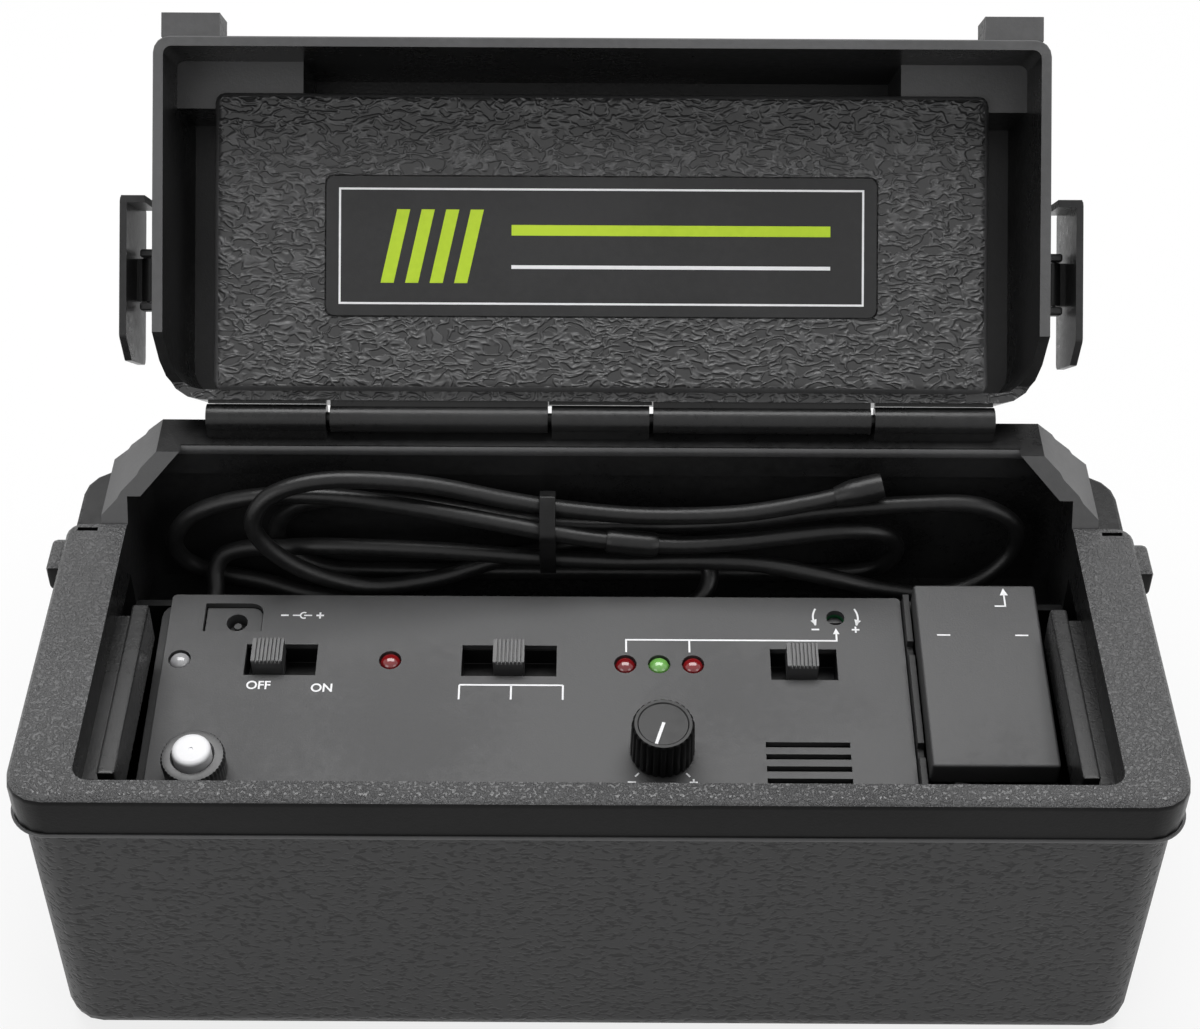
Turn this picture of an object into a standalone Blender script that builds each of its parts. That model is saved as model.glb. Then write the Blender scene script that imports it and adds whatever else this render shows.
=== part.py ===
"""Refrigerant leak detector: an instrument in a moulded carrying case, lid open.

Lengths below are millimetres. X is to the right, Y to the rear, Z up, and the origin is the centre of the
case's flat bottom.
"""
import math

import bmesh
import bpy
import numpy as np
from mathutils import Matrix, Vector

MM = 0.001
GAP = 0.3            # space kept between two pieces that touch
RUN = 0.5            # running clearance of what turns or slides
OVER = 6.0           # how far a cutter runs past what it cuts
SINK = 0.4           # how far a joined form starts inside its carrier

# Case
BODY_HALF = 129.8
SPREAD = BODY_HALF / 129.8      # 1 as drawn: places along X keep their share of the case
BODY_FRONT = -54.3
BODY_REAR = 54.8
BODY_R = 9.0
FOOT_R = 6.0
WALL = 3.0
FLOOR = 3.0
RIM_OUT = 1.5
RIM_LOW = 76.5
ARM_TOP = 89.0
ARM_WIDE = 14.8
ARM_END = 33.5
BAR_DEEP = 5.8
RIM_EDGE = 2.2
ARM_R = 4.0
MOUTH_R = 4.0
BRIDGE_TOP = 103.6
BRIDGE_FRONT = 42.6
BRIDGE_HALF = BODY_HALF - 21.8
BRIDGE_FOOT_HALF = BODY_HALF - 6.8
BRIDGE_MOUTH_HALF = BODY_HALF - 32.8
BRIDGE_STEPS = 3
LIP_HIGH = 9.5
LIP_IN = 5.0
TROUGH_FLOOR = 56.0
TROUGH_FRONT = 29.2
PARTITION = 2.0
PARTITION_TOP = 65.5
RAIL_IN = BODY_HALF - 21.2
RAIL_WIDE = 4.2
RAIL_TOP = 83.0
RAIL_FOOT = 71.0
RAIL_STEP = 5.0
RAIL_FRONT = -43.0
RAIL_REAR = 10.6
LUG_OUT = 4.0
LUG_Y = 25.5
LUG_LONG = 11.0
LUG_HIGH = 8.0
STRAP_SLIT = (5.0, 1.2, 4.0)

# Hinge
HINGE_Y = 51.0
HINGE_Z = 107.5
KNUCKLE_R = 3.4
PIN_R = 1.5
END_KNUCKLE = (67.5 * SPREAD, 97.0 * SPREAD)
LID_KNUCKLE = (13.0, 66.5 * SPREAD)
LID_OPEN = 133.0

# Lid in its shut place: d runs forward from the hinge's axis, h runs up from it
LID_HALF = BODY_HALF - 22.8
LID_NEAR = 4.3
LID_FAR = 90.0
LID_TOP = 26.5
LID_RIM = -21.0
LID_WALL = 2.5
LID_R = 9.0
REAR_RIM = -3.0
SLOPE_NEAR = 8.5
SLOPE_FAR = 19.5
PAD_HALF = LID_HALF - 12.0
PAD_NEAR = 6.4
PAD_FAR = 79.7
PAD_FACE = -5.0
PAD_EDGE = 2.5
PLATE_HALF = 67.7
PLATE_NEAR = 24.6
PLATE_FAR = 59.4
PLATE_SINK = 0.9
PLATE_THICK = 0.7
STOP_IN = LID_HALF - 33.5
STOP_FACE = -2.0
STOP_DEEP = 12.0
HORN_IN = LID_HALF - 16.0
HORN_OUT = LID_HALF - 2.0
HORN_FAR = 95.5
HORN_DEEP = 11.0

# Side latches, in the lid's shut place
LATCH_OUT = LID_HALF + 8.6
LATCH_THICK = 1.7
LATCH_NEAR = 13.3
LATCH_FAR = 52.6
LATCH_LOW = -16.0
LATCH_HIGH = 8.0
LATCH_AXIS_X = LID_HALF + 3.7
LATCH_AXIS_H = -2.0
BARREL_R = 2.5
EARS = (27.0, 40.0)
EAR_THICK = 2.0
LATCH_PIN_R = 1.0
LIP_IN_X = LID_HALF + 2.6

# Instrument: the panel rises to the rear, and its own frame starts at its face over Y = 0
TILT = 6.7
PANEL_Z = 65.35
PANEL_LEFT = 22.8 - BODY_HALF
COVER_RIGHT = BODY_HALF - 22.0
COVER_LEFT = COVER_RIGHT - 30.1
PANEL_RIGHT = COVER_LEFT - 2.4
PANEL_FRONT = -45.5
PANEL_REAR = 28.2
PANEL_THICK = 1.6
TUB_LEFT = 20.4 - BODY_HALF
TUB_RIGHT = BODY_HALF - 21.8
TUB_FRONT = -44.5
TUB_REAR = 26.6
TUB_WALL = 2.0
TUB_R = 4.0
DIVIDER = 1.6
DIVIDER_UP = 3.0
NOTCHES = (-22.0, 8.0)
NOTCH_LONG = 4.0
LAMP_R = 2.5
LAMP_UP = 0.6
LAMP_DEEP = 6.0
LAMPS = {"charge_lamp": (PANEL_LEFT + 4.0, 8.1), "battery_lamp": (-51.3 * SPREAD, 8.1),
         "low_lamp": (6.4 * SPREAD, 7.3), "ok_lamp": (14.7 * SPREAD, 7.3), "high_lamp": (23.0 * SPREAD, 7.3)}
# centre x, centre y, slot width, where the slider stands
SWITCHES = {"power": (-78.1 * SPREAD, 8.1, 17.6, -2.9), "leak_size": (-22.1 * SPREAD, 8.1, 23.3, 0.0),
            "mode": (50.2 * SPREAD, 7.4, 16.4, -0.6)}
SLOT_HIGH = 9.4
SLIDER_WIDE = 7.6
SLIDER_HIGH = 7.4
SLIDER_UP = 4.2
SLIDER_RIBS = 4
SWITCH_DEEP = 8.0
SWITCH_WALL = 1.6
JACK_X = -91.1 * SPREAD
JACK_Y = 21.1
JACK_WIDE = 14.6
JACK_HIGH = 8.8
JACK_SINK = 1.4
JACK_PLATE = 1.9
JACK_R = 2.6
JACK_DEEP = 7.0
TRIM_X = 58.8 * SPREAD
TRIM_Y = 21.9
TRIM_R = 2.3
TRIM_BODY = 8.0
KNOB_X = 15.1 * SPREAD
KNOB_Y = -18.5
KNOB_R = 7.7
KNOB_HIGH = 11.5
KNOB_FLUTES = 18
SHAFT_R = 3.0
POT_R = 8.0
POT_DEEP = 9.0
REF_X = -95.0 * SPREAD
REF_Y = -25.0
COLLAR_R = 7.6
COLLAR_HIGH = 7.0
COLLAR_TEETH = 22
CAP_R = 4.6
CAP_UP = 2.6
BOTTLE_R = 6.0
BOTTLE_DEEP = 34.0
VENT_X = 49.9 * SPREAD
VENT_Y = -16.4
VENT_WIDE = 20.2
VENT_HIGH = 1.5
VENT_PITCH = 3.45
VENTS = 5
COVER_FRONT = -27.7
COVER_REAR = 26.4
COVER_UP = 8.0
COVER_LOW = 0.8
COVER_WALL = 1.6
COVER_EDGE = 0.8
SENSOR_R = 9.0
SENSOR_HIGH = 34.0
BATTERY = (86.0, 40.0, 26.0)
BATTERY_X = REF_X + 55.0
PUMP_SPAN = (0.332, 0.857)      # shares of the room between the battery and the divider
PUMP = (28.0, 24.0)
BOARD_DROP = 12.0
BOARD_THICK = 1.6
BOARD_HALF = 38.0
BOARD_FRONT = -4.0
BOARD_REAR = 22.0

# Cord: it leaves the tub through the gland and lies coiled in the trough
CORD_R = 2.2
CORD_GAP = 0.2
GLAND_X = -98.0 * SPREAD
GLAND_Z = 60.2
GLAND_R = 3.2
GLAND_FLANGE = 4.0
GLAND_ENDS = (24.0, 31.4)
SLEEVE_R = 3.1
SLEEVE_AT = (676.5, 689.5)      # along the cord, from its end in the tub
BOOT_R = 3.3
BOOT_LONG = 12.0
TIE_X = -13.0 * SPREAD
TIE_WIDE = 4.0
TIE_THICK = 1.0
TIE_STRANDS = ((36.5, 73.9), (42.2, 80.5), (38.5, 89.9), (34.5, 84.8))
CORD_ROUTE = [
    (-98.0, 20.0, 60.2), (-98.0, 26.0, 60.2), (-98.0, 32.0, 60.2), (-98.0, 36.4, 62.4), (-98.0, 39.6, 66.2),
    (-95.6, 41.6, 69.6),
    (-89.5, 41.8, 71.8), (-81.0, 40.4, 73.4), (-68.0, 38.6, 75.6), (-43.0, 37.0, 76.0), (-15.0, 36.5, 74.0),
    (4.0, 36.2, 73.2), (23.0, 35.4, 74.2), (40.0, 34.6, 74.0), (58.0, 34.0, 70.0), (73.0, 34.5, 64.9),
    (86.0, 36.0, 62.4), (97.5, 38.5, 65.4), (104.5, 40.5, 73.2), (104.0, 41.0, 82.0), (94.0, 41.0, 88.6),
    (78.0, 41.0, 88.8), (56.0, 41.0, 86.4), (35.0, 41.2, 82.5), (10.0, 42.0, 80.0), (-14.0, 42.2, 80.5),
    (-40.0, 42.6, 85.5), (-58.0, 43.2, 87.5), (-73.0, 44.6, 85.2), (-81.5, 45.6, 77.5), (-81.0, 45.6, 68.5),
    (-72.0, 45.6, 61.8), (-58.0, 45.6, 60.4), (-20.0, 45.6, 60.4), (20.0, 45.6, 60.4), (46.0, 45.6, 60.4),
    (62.0, 45.2, 60.9), (71.2, 43.8, 64.2), (75.2, 41.8, 72.0), (71.8, 39.6, 79.6), (62.0, 37.8, 82.6),
    (48.0, 36.6, 81.9), (34.0, 35.6, 80.6), (18.0, 34.8, 80.2), (0.0, 34.6, 82.2), (-14.0, 34.5, 85.0),
    (-42.0, 36.0, 90.5), (-66.0, 38.5, 92.6), (-86.0, 39.8, 91.2), (-101.0, 40.2, 85.5), (-107.5, 40.6, 76.0),
    (-106.0, 42.4, 67.0), (-98.0, 43.6, 61.2), (-87.0, 41.4, 60.4), (-70.0, 35.6, 60.4), (-40.0, 32.2, 60.4),
    (-4.0, 32.0, 60.4), (18.0, 32.0, 60.4), (25.2, 33.9, 62.0), (28.2, 38.8, 66.0), (25.2, 43.4, 70.2),
    (18.0, 45.3, 71.9), (0.0, 45.2, 71.9), (-24.0, 42.0, 68.5), (-42.0, 37.5, 65.4), (-58.0, 34.0, 66.0),
    (-72.0, 31.9, 72.5), (-82.0, 31.8, 81.0), (-85.5, 32.4, 89.5), (-80.0, 34.4, 97.2), (-66.0, 36.5, 100.0),
    (-44.0, 38.0, 97.5), (-22.0, 38.6, 91.5), (-6.0, 38.4, 88.6), (12.0, 37.6, 87.6), (34.0, 37.5, 88.5),
    (52.0, 38.5, 91.5), (64.0, 39.5, 94.5)]


def collection(title, hidden=False):
    """A collection of that name in the scene."""
    made = bpy.data.collections.get(title) or bpy.data.collections.new(title)
    if title not in bpy.context.scene.collection.children:
        bpy.context.scene.collection.children.link(made)
    made.hide_render = hidden
    return made


for old in list(bpy.data.objects):
    bpy.data.objects.remove(old, do_unlink=True)
PARTS = collection("leak_detector")
CUTTERS = collection("cutters", hidden=True)


def plastic(title, color, roughness, metallic=0.0):
    """A Principled material."""
    made = bpy.data.materials.new(title)
    made.use_nodes = True
    shader = made.node_tree.nodes["Principled BSDF"]
    shader.inputs["Base Color"].default_value = (*color, 1.0)
    shader.inputs["Roughness"].default_value = roughness
    shader.inputs["Metallic"].default_value = metallic
    return made


CASE_BLACK = plastic("case_black", (0.045, 0.047, 0.05), 0.5)
PANEL_BLACK = plastic("panel_black", (0.05, 0.05, 0.053), 0.55)
SWITCH_BLACK = plastic("switch_black", (0.02, 0.02, 0.022), 0.35)
RUBBER = plastic("cord_rubber", (0.035, 0.035, 0.037), 0.6)
STEEL = plastic("pin_steel", (0.6, 0.6, 0.6), 0.3, 1.0)
LAMP_RED = plastic("lamp_red", (0.25, 0.01, 0.015), 0.1)
LAMP_GREEN = plastic("lamp_green", (0.16, 0.45, 0.1), 0.1)
LAMP_CLEAR = plastic("lamp_clear", (0.5, 0.5, 0.48), 0.1)
WHITE = plastic("cap_white", (0.8, 0.8, 0.78), 0.4)
BOARD_GREEN = plastic("board_green", (0.03, 0.2, 0.08), 0.4)


def add(title, mesh, material=None, parent=None, cutter=False):
    """An object that holds the mesh, in the parts or among the cutters."""
    made = bpy.data.objects.new(title, mesh)
    (CUTTERS if cutter else PARTS).objects.link(made)
    if cutter:
        made.hide_render = True
        made.display_type = "WIRE"
    if material:
        made.data.materials.append(material)
    made.parent = parent
    return made


def from_bmesh(title, bm, **place):
    """An object made from a bmesh whose lengths are millimetres."""
    bmesh.ops.scale(bm, vec=(MM, MM, MM), verts=bm.verts)
    bmesh.ops.recalc_face_normals(bm, faces=bm.faces)
    mesh = bpy.data.meshes.new(title)
    bm.to_mesh(mesh)
    bm.free()
    return add(title, mesh, **place)


def block(title, low, high, edge=0.0, steps=2, **place):
    """A box between two corners, its edges rounded by edge."""
    bm = bmesh.new()
    bmesh.ops.create_cube(bm, size=1.0)
    low, high = Vector(low), Vector(high)
    bmesh.ops.scale(bm, vec=high - low, verts=bm.verts)
    bmesh.ops.translate(bm, vec=(high + low) / 2, verts=bm.verts)
    if edge:
        bmesh.ops.bevel(bm, geom=bm.edges[:], offset=edge, segments=steps, profile=0.5, affect="EDGES")
    return from_bmesh(title, bm, **place)


def rod(title, radius, start, end, sides=24, edge=0.0, tip=None, **place):
    """A cylinder, or a cone with tip as its far radius, from start to end."""
    start, end = Vector(start), Vector(end)
    run = end - start
    bm = bmesh.new()
    bmesh.ops.create_cone(bm, cap_ends=True, segments=sides, radius1=radius, radius2=radius if tip is None else tip,
                          depth=run.length)
    if edge:
        ends = [e for e in bm.edges if abs(e.verts[0].co.z - e.verts[1].co.z) < 1e-5 and e.verts[0].co.z > 0]
        bmesh.ops.bevel(bm, geom=ends, offset=edge, segments=2, profile=0.5, affect="EDGES")
    turn = run.to_track_quat("Z", "Y").to_matrix().to_4x4()
    bmesh.ops.transform(bm, matrix=Matrix.Translation((start + end) / 2) @ turn, verts=bm.verts)
    return from_bmesh(title, bm, **place)


def soft_corners(points, radius, steps=4):
    """The outline with each corner turned into an arc; radius is one number or one for each point."""
    count = len(points)
    radii = [radius] * count if isinstance(radius, (int, float)) else list(radius)
    out = []
    for i, point in enumerate(points):
        here = Vector(point).to_2d()
        back = Vector(points[i - 1]).to_2d() - here
        ahead = Vector(points[(i + 1) % count]).to_2d() - here
        angle = back.angle(ahead)
        if radii[i] <= 0 or abs(angle - math.pi) < 1e-3:
            out.append(tuple(here))
            continue
        reach = radii[i] / math.tan(angle / 2)
        middle = here + (back.normalized() + ahead.normalized()).normalized() * (radii[i] / math.sin(angle / 2))
        first = here + back.normalized() * reach - middle
        last = here + ahead.normalized() * reach - middle
        sweep = first.angle_signed(last)
        for k in range(steps + 1):
            turned = Matrix.Rotation(-sweep * k / steps, 2) @ first
            out.append(tuple(middle + turned))
    return out


def rectangle(low_x, high_x, low_y, high_y):
    """The four corners of a rectangle, anticlockwise."""
    return [(low_x, low_y), (high_x, low_y), (high_x, high_y), (low_x, high_y)]


AXES = {"z": Matrix.Identity(4),
        "x": Matrix(((0, 0, 1, 0), (1, 0, 0, 0), (0, 1, 0, 0), (0, 0, 0, 1))),
        "y": Matrix(((1, 0, 0, 0), (0, 0, -1, 0), (0, 1, 0, 0), (0, 0, 0, 1)))}


def slab(title, outlines, low, high, axis="z", foot=0.0, top=0.0, **place):
    """A flat outline with its holes, carried from low to high along an axis, its end edges rounded.

    Along z the outline is in x and y, along x it is in y and z, and along y it is in x and z.
    """
    curve = bpy.data.curves.new(title, "CURVE")
    curve.dimensions = "2D"
    curve.fill_mode = "BOTH"
    curve.extrude = (high - low) / 2 * MM
    for outline in outlines:
        spline = curve.splines.new("POLY")
        spline.points.add(len(outline) - 1)
        for point, spot in zip(spline.points, outline):
            point.co = (spot[0] * MM, spot[1] * MM, 0.0, 1.0)
        spline.use_cyclic_u = True
    holder = bpy.data.objects.new(title, curve)
    bpy.context.scene.collection.objects.link(holder)
    mesh = bpy.data.meshes.new_from_object(holder.evaluated_get(bpy.context.evaluated_depsgraph_get()))
    bpy.data.objects.remove(holder, do_unlink=True)
    bm = bmesh.new()
    bm.from_mesh(mesh)
    bpy.data.meshes.remove(mesh)
    bmesh.ops.remove_doubles(bm, verts=bm.verts, dist=0.00001)
    bmesh.ops.dissolve_limit(bm, angle_limit=0.001, verts=bm.verts, edges=bm.edges)
    bmesh.ops.scale(bm, vec=(1 / MM, 1 / MM, 1 / MM), verts=bm.verts)
    middle = (low + high) / 2 * (-1 if axis == "y" else 1)
    bmesh.ops.translate(bm, vec=(0, 0, middle), verts=bm.verts)
    for level, size in ((low, foot), (high, top)):
        if size:
            rims = [e for e in bm.edges if all(abs(v.co.z - level) < 1e-4 for v in e.verts)]
            bmesh.ops.bevel(bm, geom=rims, offset=size, segments=3, profile=0.5, affect="EDGES")
    bmesh.ops.transform(bm, matrix=AXES[axis], verts=bm.verts)
    return from_bmesh(title, bm, **place)


def boolean(target, tool, kind):
    """One EXACT Boolean on the target."""
    step = target.modifiers.new(f"{kind.lower()} {tool.name}", "BOOLEAN")
    step.operation = kind
    step.solver = "EXACT"
    step.object = tool


def cut(target, *tools):
    """Cut the tools out of the target."""
    for tool in tools:
        boolean(target, tool, "DIFFERENCE")


def join(target, *tools):
    """Grow the tools onto the target."""
    for tool in tools:
        boolean(target, tool, "UNION")


def frame(title, location, turn=0.0):
    """An empty at a place in millimetres, turned about X by degrees."""
    made = bpy.data.objects.new(title, None)
    PARTS.objects.link(made)
    made.location = Vector(location) * MM
    made.rotation_euler = (math.radians(turn), 0.0, 0.0)
    return made


TILT_RISE = math.tan(math.radians(TILT))


def panel_height(y, up=0.0):
    """Height of the panel's face, or of a level up from it, over a place in Y."""
    return PANEL_Z + TILT_RISE * y + up / math.cos(math.radians(TILT))


def base_case():
    """The tub with its raised rim, rails, stowage trough and hinge bridge, in one moulding."""
    plan = soft_corners(rectangle(-BODY_HALF, BODY_HALF, BODY_FRONT, BODY_REAR), BODY_R)
    case = slab("base_case", [plan], 0.0, ARM_TOP - RIM_EDGE, foot=FOOT_R, top=1.0, material=CASE_BLACK)
    rim_half = BODY_HALF + RIM_OUT
    rim_plan = soft_corners(rectangle(-rim_half, rim_half, BODY_FRONT - RIM_OUT, ARM_END),
                            [BODY_R, BODY_R, ARM_R, ARM_R])
    rim = slab("rim", [rim_plan], RIM_LOW, ARM_TOP, foot=0.6, top=RIM_EDGE, cutter=True)

    slope = (BRIDGE_TOP - ARM_TOP) / (BRIDGE_FRONT - ARM_END)
    rise = BRIDGE_TOP - ARM_TOP + SINK
    side = [(BRIDGE_FOOT_HALF, RIM_LOW)]
    run = (BRIDGE_FOOT_HALF - BRIDGE_HALF) / BRIDGE_STEPS
    climb = rise / BRIDGE_STEPS
    for k in range(BRIDGE_STEPS):
        x = BRIDGE_FOOT_HALF - k * run
        z = ARM_TOP - SINK + k * climb
        side += [(x, z + climb * 0.3), (x - run * 0.8, z + climb)]
    side.append((BRIDGE_HALF, BRIDGE_TOP))
    front_view = side + [(-x, z) for x, z in reversed(side)]
    bridge = slab("bridge", [front_view], ARM_END - OVER, BODY_REAR, axis="y", cutter=True)
    foot_y = ARM_END - OVER
    foot_z = ARM_TOP - OVER * slope
    slope_cut = slab("bridge_slope", [[(foot_y - OVER, foot_z), (foot_y, foot_z), (BRIDGE_FRONT, BRIDGE_TOP),
                                       (BRIDGE_FRONT + 1.2, BRIDGE_TOP + 0.4), (BRIDGE_FRONT + 1.2, BRIDGE_TOP + OVER),
                                       (foot_y - OVER, BRIDGE_TOP + OVER)]],
                     -rim_half, rim_half, axis="x", cutter=True)
    cut(bridge, slope_cut)
    join(case, rim, bridge)

    inner = BODY_HALF - WALL
    wall_rear = BODY_REAR - WALL
    low_top = TROUGH_FLOOR - FLOOR
    well_rear = TROUGH_FRONT - PARTITION
    low_plan = soft_corners(rectangle(-inner, inner, BODY_FRONT + WALL, wall_rear), BODY_R - WALL)
    well_plan = soft_corners(rectangle(-inner, inner, BODY_FRONT + WALL, well_rear), [BODY_R - WALL] * 2 + [0, 0])
    mouth_half = rim_half - ARM_WIDE
    bar = BODY_FRONT - RIM_OUT + BAR_DEEP
    mouth_plan = soft_corners(rectangle(-mouth_half, mouth_half, bar, well_rear), [MOUTH_R] * 2 + [0, 0])
    trough_rear = BRIDGE_FRONT + LIP_IN + 0.6
    trough_plan = soft_corners(rectangle(-mouth_half, mouth_half, TROUGH_FRONT, trough_rear), [0, 0] + [MOUTH_R] * 2)
    cut(case,
        slab("low_room", [low_plan], FLOOR, low_top, cutter=True),
        slab("well_room", [well_plan], low_top - 1.0, RIM_LOW + 0.2, cutter=True),
        slab("mouth", [mouth_plan], RIM_LOW - 1.0, ARM_TOP + OVER, cutter=True),
        slab("trough", [trough_plan], TROUGH_FLOOR, BRIDGE_TOP - LIP_HIGH, cutter=True),
        block("over_partition", (-mouth_half, well_rear - 1.0, PARTITION_TOP), (mouth_half, TROUGH_FRONT + 1.0,
              ARM_TOP + OVER), cutter=True),
        rod("gland_bore", GLAND_R + GAP, (GLAND_X, well_rear - 1.0, GLAND_Z), (GLAND_X, TROUGH_FRONT + 1.0, GLAND_Z),
            sides=16, cutter=True))
    lip_view = [(-mouth_half, ARM_TOP - 1.0), (mouth_half, ARM_TOP - 1.0),
                (mouth_half, ARM_TOP + 2.0), (BRIDGE_MOUTH_HALF, BRIDGE_TOP + OVER),
                (-BRIDGE_MOUTH_HALF, BRIDGE_TOP + OVER), (-mouth_half, ARM_TOP + 2.0)]
    lip = HINGE_Y - PAD_NEAR + 0.7
    cut(case, slab("lip_mouth", [lip_view], TROUGH_FRONT, lip, axis="y", cutter=True))

    for sign in (-1, 1):
        name = "left" if sign < 0 else "right"
        post = sorted((sign * RAIL_IN, sign * (RAIL_IN + RAIL_WIDE)))
        foot = sorted((sign * (RAIL_IN + 1.0), sign * (mouth_half + SINK)))
        join(case,
             block(f"rail_{name}", (post[0], RAIL_FRONT, RAIL_FOOT), (post[1], RAIL_REAR, RAIL_TOP), edge=0.8,
                   cutter=True),
             block(f"rail_foot_{name}", (foot[0], RAIL_FRONT + 1.0, RIM_LOW + 0.7), (foot[1], RAIL_REAR - 1.0,
                   RIM_LOW + 0.7 + RAIL_STEP * 0.5), cutter=True),
             block(f"lug_{name}", (sign * rim_half - LUG_OUT, LUG_Y - LUG_LONG / 2, RIM_LOW + 1.0),
                   (sign * rim_half + LUG_OUT, LUG_Y + LUG_LONG / 2, RIM_LOW + 1.0 + LUG_HIGH), edge=1.5,
                   cutter=True))
        wide, deep, down = STRAP_SLIT
        mid = sign * (rim_half - ARM_WIDE / 2 + 2.0)
        cut(case, block(f"slit_{name}", (mid - wide / 2, ARM_END - 2.6 - deep, ARM_TOP - down),
                        (mid + wide / 2, ARM_END - 2.6, ARM_TOP + OVER), cutter=True))
        ends = sorted(sign * x for x in END_KNUCKLE)
        join(case, *knuckle(f"base_knuckle_{name}", ends, BRIDGE_TOP - HINGE_Z - SINK))
    join(case, *knuckle("base_knuckle_mid", (-LID_KNUCKLE[0] + 1.0, LID_KNUCKLE[0] - 1.0),
                        BRIDGE_TOP - HINGE_Z - SINK))
    cut(case, rod("hinge_bore", PIN_R + GAP, (-OVER - END_KNUCKLE[1], HINGE_Y, HINGE_Z),
                  (END_KNUCKLE[1] + OVER, HINGE_Y, HINGE_Z), sides=16, cutter=True))
    return case


def knuckle(title, ends, down):
    """A knuckle about the hinge's axis with the foot that carries it, down to a level below the axis."""
    barrel = rod(title, KNUCKLE_R, (ends[0], HINGE_Y, HINGE_Z), (ends[1], HINGE_Y, HINGE_Z), cutter=True)
    foot = block(f"{title}_foot", (ends[0] + 0.01, HINGE_Y - KNUCKLE_R + 0.4, HINGE_Z + down),
                 (ends[1] - 0.01, HINGE_Y + KNUCKLE_R - 0.4, HINGE_Z - 0.5), cutter=True)
    return barrel, foot


def lid(hinge):
    """The double-walled lid, built shut about its hinge and turned open by its frame."""
    here = {"parent": hinge, "cutter": True}
    plan = soft_corners(rectangle(-LID_HALF, LID_HALF, -LID_FAR, -LID_NEAR), [4.0, 4.0, LID_R, LID_R])
    shell = slab("lid", [plan], LID_RIM, LID_TOP, foot=0.8, top=3.0, material=CASE_BLACK, parent=hinge)
    inner = LID_HALF - LID_WALL
    room = soft_corners(rectangle(-inner, inner, -LID_FAR + LID_WALL, -LID_NEAR - LID_WALL),
                        [2.0, 2.0, LID_R - LID_WALL, LID_R - LID_WALL])
    slope = [(-LID_NEAR + OVER, REAR_RIM), (-SLOPE_NEAR, REAR_RIM), (-SLOPE_FAR, LID_RIM + 1.2),
             (-LID_FAR - OVER, LID_RIM), (-LID_FAR - OVER, LID_RIM - OVER), (-LID_NEAR + OVER, LID_RIM - OVER)]
    floor = LID_TOP - LID_WALL
    cut(shell,
        slab("lid_room", [room], LID_RIM - OVER, floor, **here),
        slab("lid_slope", [slope], -LID_HALF - OVER, LID_HALF + OVER, axis="x", **here))
    join(shell, block("pad", (-PAD_HALF, -PAD_FAR, PAD_FACE), (PAD_HALF, -PAD_NEAR, floor + SINK + PAD_EDGE),
                      edge=PAD_EDGE, steps=3, **here))
    for sign in (-1, 1):
        name = "left" if sign < 0 else "right"
        stop = sorted((sign * STOP_IN, sign * (inner + SINK)))
        horn = sorted((sign * HORN_IN, sign * HORN_OUT))
        join(shell,
             block(f"stop_{name}", (stop[0], -LID_FAR + LID_WALL - SINK, STOP_FACE),
                   (stop[1], -LID_FAR + LID_WALL + STOP_DEEP - SINK, floor + SINK), **here),
             block(f"horn_{name}", (horn[0], -HORN_FAR, LID_RIM + 0.5), (horn[1], -LID_FAR + SINK,
                   LID_RIM + HORN_DEEP), edge=0.1, steps=1, **here))
        for near in EARS:
            ear = sorted((sign * (LID_HALF - SINK), sign * (LATCH_AXIS_X + BARREL_R - 0.2)))
            join(shell, block(f"ear_{name}_{near:.0f}", (ear[0], -near - EAR_THICK / 2, LATCH_AXIS_H - BARREL_R),
                              (ear[1], -near + EAR_THICK / 2, LATCH_AXIS_H + BARREL_R), edge=0.4, steps=1, **here))
        cut(shell, rod(f"ear_bore_{name}", LATCH_PIN_R + GAP,
                       (sign * LATCH_AXIS_X, -EARS[0] + 0.4, LATCH_AXIS_H),
                       (sign * LATCH_AXIS_X, -EARS[1] - OVER, LATCH_AXIS_H), sides=12, **here))
        span = sorted(sign * x for x in LID_KNUCKLE)
        join(shell,
             rod(f"lid_knuckle_{name}", KNUCKLE_R, (span[0], 0, 0), (span[1], 0, 0), **here),
             block(f"lid_web_{name}", (span[0] + 0.01, -LID_NEAR - 1.0, -1.8), (span[1] - 0.01, -1.0, 2.6), **here))
    cut(shell,
        rod("lid_bore", PIN_R + GAP, (-END_KNUCKLE[1], 0, 0), (END_KNUCKLE[1], 0, 0), sides=16, **here),
        slab("plate_seat", [soft_corners(rectangle(-PLATE_HALF, PLATE_HALF, -PLATE_FAR, -PLATE_NEAR), 2.0, 3)],
             PAD_FACE - OVER, PAD_FACE + PLATE_SINK, **here))
    slab("lid_plate", [soft_corners(rectangle(-PLATE_HALF + GAP, PLATE_HALF - GAP, -PLATE_FAR + GAP,
                                              -PLATE_NEAR - GAP), 2.0, 3)],
         PAD_FACE + PLATE_SINK - GAP - PLATE_THICK + 0.2, PAD_FACE + PLATE_SINK - GAP, material=PANEL_BLACK,
         parent=hinge)
    return shell


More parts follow.
